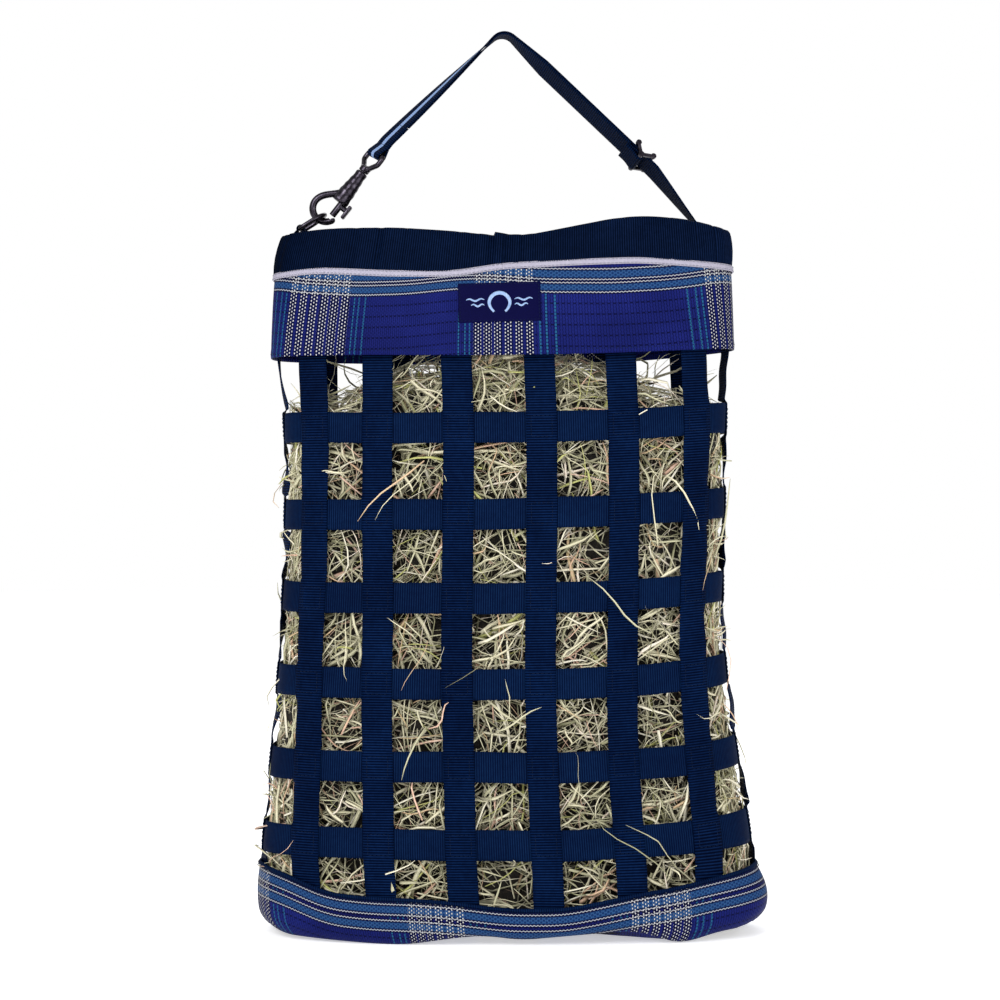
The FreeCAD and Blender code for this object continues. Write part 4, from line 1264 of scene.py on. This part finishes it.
def tab_cloth():
    """Webbing loop that holds the D-ring, with its tail sewn inside the hem."""
    bar = np.array(JOINTS["ring_swing"]["pos_m"])
    radius = 1.9 * MM + 0.45 * MM + WEB_THICK / 2
    down = np.array([math.cos(math.radians(-115)), 0, math.sin(math.radians(-115))])
    side = np.array([-down[2], 0, down[0]])
    turn = np.radians(np.linspace(40, 320, 30))
    ring = down * np.cos(turn)[:, None] + side * np.sin(turn)[:, None]
    path = bar + ring * radius
    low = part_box("hem_webbing")[0]
    sewn_x = low.x + 6.0 * MM
    tail = np.linspace(0, 1, 20)[:, None]
    start_a, start_b = path[-1], path[0]
    sewn = np.array([sewn_x, 0.0, 566 * MM])
    bend = np.array([sewn_x + 1.0 * MM, 0.0, 584 * MM])
    leg_a = (1 - tail) ** 2 * start_a + 2 * tail * (1 - tail) * bend + tail ** 2 * sewn
    gap = np.array([1.6 * MM, 0, 0])
    leg_b = (1 - tail) ** 2 * start_b + 2 * tail * (1 - tail) * (bend + gap) + tail ** 2 * (sewn + gap)
    centres = np.concatenate([leg_b[:0:-1], path, leg_a[1:]])
    across = np.repeat(np.array([[0.0, 1.0, 0.0]]), len(centres), 0)
    normals = np.cross(unit(np.gradient(centres, axis=0)), across)
    on_bar = slice(len(leg_b) - 1, len(leg_b) - 1 + len(path))
    outwards = np.sign(np.einsum("ij,ij->i", normals[on_bar], path - bar).sum())
    run = run_of(centres)
    return strap_sheet("ring_tab_cloth", centres, normals * outwards, across, run, 20 * MM)


def hanger_stitches():
    """Stitching across the strap above the snap's eye."""
    bits = Bits()
    corners = np.linspace(0, 4, 60)
    at = np.interp(corners, range(5), np.array([10, 32, 32, 10, 10]) * MM)
    side = np.interp(corners, range(5), np.array([-9.5, -9.5, 9.5, 9.5, -9.5]) * MM)
    centre, _, normal, across = LINE.frame(at)
    for face in (1, -1):
        out = normal * face
        points = centre + across * side[:, None] + out * (LAYER_LIFT + WEB_THICK / 2 + 0.05 * MM)
        thread(bits, points, out, 2.4 * MM, 0.8 * MM, 0.22 * MM)
    return bits.piece("hanger_stitching")


def plate(obj):
    """Gives a metal part the plated finish."""
    obj.data.materials.clear()
    obj.data.materials.append(GUNMETAL)
    obj.data.polygons.foreach_set("use_smooth", [True] * len(obj.data.polygons))
    obj.data.set_sharp_from_angle(angle=math.radians(38))


def spring_coil():
    """The bolt's spring, a plated copy of its CAD mesh carried on the snap at one length, though the real
    spring closes up towards the swivel as the bolt slides back.
    """
    coil = bpy.data.objects.new("spring_coil", NODES["bolt_spring"].data.copy())
    bpy.context.collection.objects.link(coil)
    plate(coil)
    slide = JOINTS["bolt_slide"]
    axis = np.array(slide["axis"], float)
    points = corners_of("bolt_spring")
    along = points @ axis
    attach(coil, "snap")
    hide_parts("bolt_spring")
    tuple(points[along.argmax()])
    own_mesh(coil)


def build_hanger():
    dress(outer_layer(), STRIPED_CLOTH, "hanger_webbing", "hanger_strap", "strap_anchor",
          bend=[("bag", (0.175, 0, 0.580)), ("hanger", (0.160, 0, 0.612))])
    loop_end = LINE.frame([LINE.slider - 13 * MM])[0][0]
    dress(return_layer(), HANGER_CLOTH, "hanger_webbing",
          bend=[("slider", loop_end), ("hanger", loop_end - LEG_WAY * 120 * MM)])
    dress(slider_loop_cloth(), HANGER_CLOTH, "hanger_webbing", "slider_loop", body="slider")
    dress(tab_cloth(), HANGER_CLOTH, "hanger_webbing", "ring_tab",
          bend=[("bag", (-0.18, 0, 0.578)), ("hanger", (-0.18, 0, 0.593))])
    dress(hanger_stitches(), NAVY_THREAD, "hanger_webbing", body="hanger")
    for node in ("snap_eye", "snap_casting", "snap_bolt", "d_ring", "slider_frame"):
        plate(NODES[node])
    spring_coil()


# ================================================================ hay

HAY_LOW = 22 * MM


def hay_top(x):
    """Height of the hay under the upper band: highest in the middle."""
    return (487 - 40 * np.minimum(np.abs(x) / 0.15, 1.1) ** 1.7) * MM


def blades(name, starts, ends, widths, bows, tones, deeps, rng):
    """Many bent stems, each a thin three-sided bar tapered to its tip."""
    count, rings = len(starts), 6
    t = np.linspace(0, 1, rings)
    way = ends - starts
    size = np.linalg.norm(way, axis=1, keepdims=True)
    way /= size
    side = unit(np.cross(way, rng.normal(size=(count, 3))))
    up = np.cross(way, side)
    path = starts[:, None] + (ends - starts)[:, None] * t[None, :, None]
    path = path + bows[:, None] * (4 * t * (1 - t))[None, :, None]
    kink = rng.normal(size=(count, 3)) * size * 0.035
    path = path + kink[:, None] * np.sin(2 * np.pi * t)[None, :, None]
    taper = np.array([0.8, 1.0, 1.0, 0.9, 0.7, 0.25])
    ring = np.array([(1.0, 0.0), (-0.45, 0.34), (-0.55, -0.28)])
    offset = side[:, None, None] * ring[:, 0, None] + up[:, None, None] * ring[:, 1, None]
    verts = path[:, :, None] + offset * (widths[:, None] / 2 * taper)[:, :, None, None]
    quads = grid_faces(rings, 3, wrap_cols=True)
    caps = np.array([[0, 1, 2], [(rings - 1) * 3 + 2, (rings - 1) * 3 + 1, (rings - 1) * 3]])
    first = (np.arange(count) * rings * 3)[:, None, None]
    return new_piece(name, verts, (quads[None] + first).reshape(-1, 4), (caps[None] + first).reshape(-1, 3),
                     tone=np.repeat(tones, rings * 3), deep=np.repeat(deeps, rings * 3))


def tangled(count, shares, settle, rng, deepest=26 * MM):
    """Stems that lie in the hay just inside the net: the long ones bend more, so they lie deeper."""
    share = rng.uniform(*shares, count)
    z = rng.uniform(HAY_LOW, 0.49, count)
    size = rng.gamma(5.0, 10 * MM, count).clip(16 * MM, 110 * MM)
    angle = rng.normal(0.0, 0.95, count) + np.where(rng.random(count) < 0.35, np.pi / 2, 0.0)
    depth = -0.6 * MM - 0.045 * size - rng.exponential(settle, (2, count)).clip(0, deepest)
    share_1 = share + np.cos(angle) * size / WALL.around(z)
    z_1 = np.clip(z + np.sin(angle) * size, HAY_LOW, 0.495)
    a, _ = net(share, z, depth[0])
    b, ways = net(share_1, z_1, depth[1])
    uneven = rng.normal(0, 5 * MM, count)
    keep = (a[:, 2] < hay_top(a[:, 0]) + uneven) & (b[:, 2] < hay_top(b[:, 0]) + 12 * MM)
    bow = rng.normal(size=(count, 3)) * size[:, None] * 0.07
    outwards = np.clip(np.einsum("ij,ij->i", bow, ways), 0, None)
    middle, _ = net((share + share_1) / 2, (z + z_1) / 2, depth.mean(0))
    bow = bow - ways * outwards[:, None] + (middle - (a + b) / 2)
    # How deep each stem lies, from 0 to about 1, which the hay finish turns into painted shade.
    deep = (-(depth + 0.045 * size).mean(0) / deepest) ** 1.1
    return a[keep], b[keep], bow[keep], deep[keep]


def openings(count, shares, aside, up, rng):
    """Shares and heights of places near the middles of the openings between the straps."""
    first, last = [int(round(v * STRAP_COUNT)) for v in shares]
    column = rng.integers(first, last + 1, count)
    row = rng.integers(0, LEVEL_COUNT, count)
    edges = np.array([LEVELS[0] - 50 * MM] + LEVELS)
    share = (column + rng.uniform(-aside, aside, count)) / STRAP_COUNT
    return share, 0.5 * (edges[row] + edges[row + 1]) + rng.uniform(-up, up, count)


def stray(count, shares, rng):
    """Stems that start in an opening between the straps and come out over them."""
    share, z = openings(count, shares, 0.13, 9 * MM, rng)
    size = rng.gamma(7.0, 7.0 * MM, count).clip(28 * MM, 85 * MM)
    angle = rng.uniform(-np.pi, np.pi, count)
    share_1 = share + np.cos(angle) * size / WALL.around(z)
    z_1 = z + np.abs(np.sin(angle)) * size * np.where(z > 0.36, -1, np.where(z < 0.11, 1, np.sign(angle)))
    a, _ = net(share, z, -1 * MM)
    b, ways = net(share_1, z_1, rng.uniform(3.8 * MM, 8 * MM, count))
    bow = rng.normal(size=(count, 3)) * size[:, None] * 0.05 + ways * (4 * MM + size * 0.03)[:, None]
    return a, b, bow, np.zeros(count)


def poking(count, shares, rng):
    """Short stems that stick out through the openings."""
    share, z = openings(count, shares, 0.14, 10 * MM, rng)
    a, _ = net(share, z, -9 * MM)
    reach = rng.uniform(3 * MM, 12 * MM, count)
    b, _ = net(share + rng.normal(0, 0.008, count), z + rng.normal(0, 8 * MM, count), reach)
    return a, b, rng.normal(size=(count, 3)) * 1.5 * MM, np.zeros(count)


def stem_tones(count, rng):
    tone = rng.normal(0.52, 0.17, count).clip(0.03, 0.82)
    odd = rng.random(count)
    tone = np.where(odd < 0.10, rng.uniform(0.86, 0.93, count), tone)
    return np.where(odd > 0.965, 1.0, tone)


def hay_side(name, shares, settle, count, strays, pokes, seed):
    rng = np.random.default_rng(seed)
    parts = [tangled(count, shares, settle, rng), stray(strays, shares, rng), poking(pokes, shares, rng)]
    a, b, bow, deep = [np.concatenate([p[k] for p in parts]) for k in range(4)]
    widths = rng.gamma(3.4, 0.66 * MM, len(a)).clip(0.8 * MM, 5.2 * MM)
    widths[-(strays + pokes):] = widths[-(strays + pokes):].clip(0.8 * MM, 2.0 * MM)
    return blades(name, a, b, widths, bow, stem_tones(len(a), rng), deep, rng)


def hay_on_top(count=1100, sparse=60):
    """Stems across the top of the hay, and a few loose ones that stand above it."""
    rng = np.random.default_rng(SEED + 7)
    total = count + sparse
    x, y = rng.uniform(-0.17, 0.165, total), rng.uniform(-0.062, 0.062, total)
    size = rng.gamma(5.0, 11 * MM, total).clip(20 * MM, 110 * MM)
    angle = rng.uniform(0, 2 * np.pi, total)
    lying = np.arange(total) < count
    above = np.where(lying, rng.normal(-6 * MM, 7 * MM, total), rng.uniform(0, 20 * MM, total))
    slope = np.where(lying, rng.normal(0, 0.25, total), rng.uniform(0.2, 0.9, total))
    a = np.stack([x, y, hay_top(x) - 26 * MM * (y / 0.07) ** 2 + above], -1)
    b = a + np.stack([np.cos(angle), 0.5 * np.sin(angle), slope], -1) * size[:, None]
    a, b = WALL.drawn_inside(a, 6 * MM), WALL.drawn_inside(b, 6 * MM)
    ceiling = hay_top(b[:, 0]) + np.where(lying, 9 * MM, 60 * MM)
    b[:, 2] = np.minimum(b[:, 2], np.minimum(ceiling - 20 * MM * (b[:, 1] / 0.07) ** 2, 0.505))
    bow = rng.normal(size=(total, 3)) * size[:, None] * 0.06
    widths = rng.gamma(3.6, 0.5 * MM, total).clip(0.7 * MM, 4.0 * MM)
    return blades("hay_stems_top", a, b, widths, bow, stem_tones(total, rng), np.zeros(total), rng)


def hay_core():
    """The shaded mass of hay behind the stems: a lumpy closed shape."""
    share, down = [grid.T for grid in round_grid(150, np.linspace(0, 1, 46))]
    z = 6 * MM + (0.448 - 6 * MM) * down
    lump = 4 * MM * ripple(share, z, SEED + 3, 10, 40.0)
    at_end = np.sin(2 * np.pi * share) ** 6
    points, _ = net(share, z, -17 * MM + 8 * MM * at_end + lump)
    points[..., 2] = np.minimum(points[..., 2], hay_top(points[..., 0]) - 14 * MM)
    rim = points[-1]
    hub = np.array([rim[:, 0].mean(), 0.0])
    for inward in np.arange(1, 9) / 9.0:
        flat = rim[:, :2] * (1 - inward) + hub * inward
        climb = (hay_top(flat[:, 0]) - 12 * MM - rim[:, 2]) * math.sin(inward * math.pi / 2)
        ring = np.column_stack([flat, rim[:, 2] + climb])
        points = np.concatenate([points, ring[None]])
    return new_piece("hay_core", *capped_tube(points))


def build_hay():
    finish = hay_finish("hay_stems")
    dress(hay_core(), hay_core_finish(), "hay", "hay_fill")
    front_back, end = 8 * MM, 4.5 * MM
    sides = [("hay_stems_front", (-0.19, 0.19), front_back, 4700, 26, 60),
             ("hay_stems_right", (0.19, 0.31), end, 2100, 9, 30),
             ("hay_stems_back", (0.31, 0.69), front_back, 4200, 26, 60),
             ("hay_stems_left", (0.69, 0.81), end, 2100, 9, 30)]
    for seed, (name, shares, settle, *counts) in enumerate(sides):
        dress(hay_side(name, shares, settle, *counts, SEED + 200 + seed), finish, "hay")
    dress(hay_on_top(), finish, "hay")


# ================================================================ floor, light and camera

CAMERA_PLACE = (-6.5 * MM, -2.0875, 0.366)
VIEW_WIDTH = 0.817                 # width seen at the bag's front, two metres away
VIEW_DISTANCE = 2.0


def backdrop():
    """A wide, pale, round floor."""
    radii, around = np.array([0.05, 0.6, 1.5, 3.5, 8.0]), 48
    turn = 2 * np.pi * np.arange(around) / around
    level = -0.2 * MM
    verts = [(r * math.cos(t), r * math.sin(t), level) for r in radii for t in turn] + [(0, 0, level)]
    middle = fan(len(verts) - 1, np.arange(around))
    floor = new_piece("studio_floor", verts, grid_faces(len(radii), around, wrap_cols=True), middle)
    finish = Finish("studio_white")
    soft = finish.noise(3.0, 2.0)
    paint(floor, finish.done(finish.ramp(soft, [(0.3, "F2F2F2"), (0.7, "F6F6F6")]), 0.85,
                             Emission_Color=(1.0, 1.0, 1.0, 1.0), Emission_Strength=0.5))


def surroundings():
    """Even white light all round, seen by the camera as plain white."""
    world = bpy.data.worlds.new("studio")
    world.use_nodes = True
    tree = world.node_tree
    sky = tree.nodes["Background"]
    sky.inputs["Color"].default_value = (1.0, 1.0, 1.0, 1.0)
    seen = tree.nodes.new("ShaderNodeLightPath")
    strength = tree.nodes.new("ShaderNodeMapRange")
    strength.inputs["To Min"].default_value = 0.55
    strength.inputs["To Max"].default_value = 1.0
    tree.links.new(seen.outputs["Is Camera Ray"], strength.inputs["Value"])
    tree.links.new(strength.outputs["Result"], sky.inputs["Strength"])
    bpy.context.scene.world = world


def area_light(name, place, target, size, power):
    light = bpy.data.lights.new(name, "AREA")
    light.shape = "RECTANGLE"
    light.size, light.size_y = size
    light.energy = power
    lamp = bpy.data.objects.new(name, light)
    lamp.location = place
    lamp.rotation_euler = (Vector(target) - Vector(place)).to_track_quat("-Z", "Y").to_euler()
    bpy.context.scene.collection.objects.link(lamp)


def studio():
    backdrop()
    surroundings()
    middle = (0.0, 0.0, 0.35)
    area_light("key", (-1.1, -2.2, 1.7), middle, (1.4, 1.4), 50)
    area_light("fill", (1.6, -1.8, 0.9), middle, (1.6, 1.6), 20)
    area_light("back", (0.4, 1.9, 2.2), middle, (2.0, 1.2), 24)


def camera():
    data = bpy.data.cameras.new("camera")
    data.sensor_width = 36.0
    data.lens = data.sensor_width * VIEW_DISTANCE / VIEW_WIDTH
    eye = bpy.data.objects.new("camera", data)
    eye.location = CAMERA_PLACE
    eye.rotation_euler = (math.pi / 2, 0.0, 0.0)
    bpy.context.scene.collection.objects.link(eye)
    bpy.context.scene.camera = eye


build_straps()
build_bands()
build_label()
build_hanger()
build_hay()
studio()
camera()
bpy.context.scene.view_settings.view_transform = "Standard"
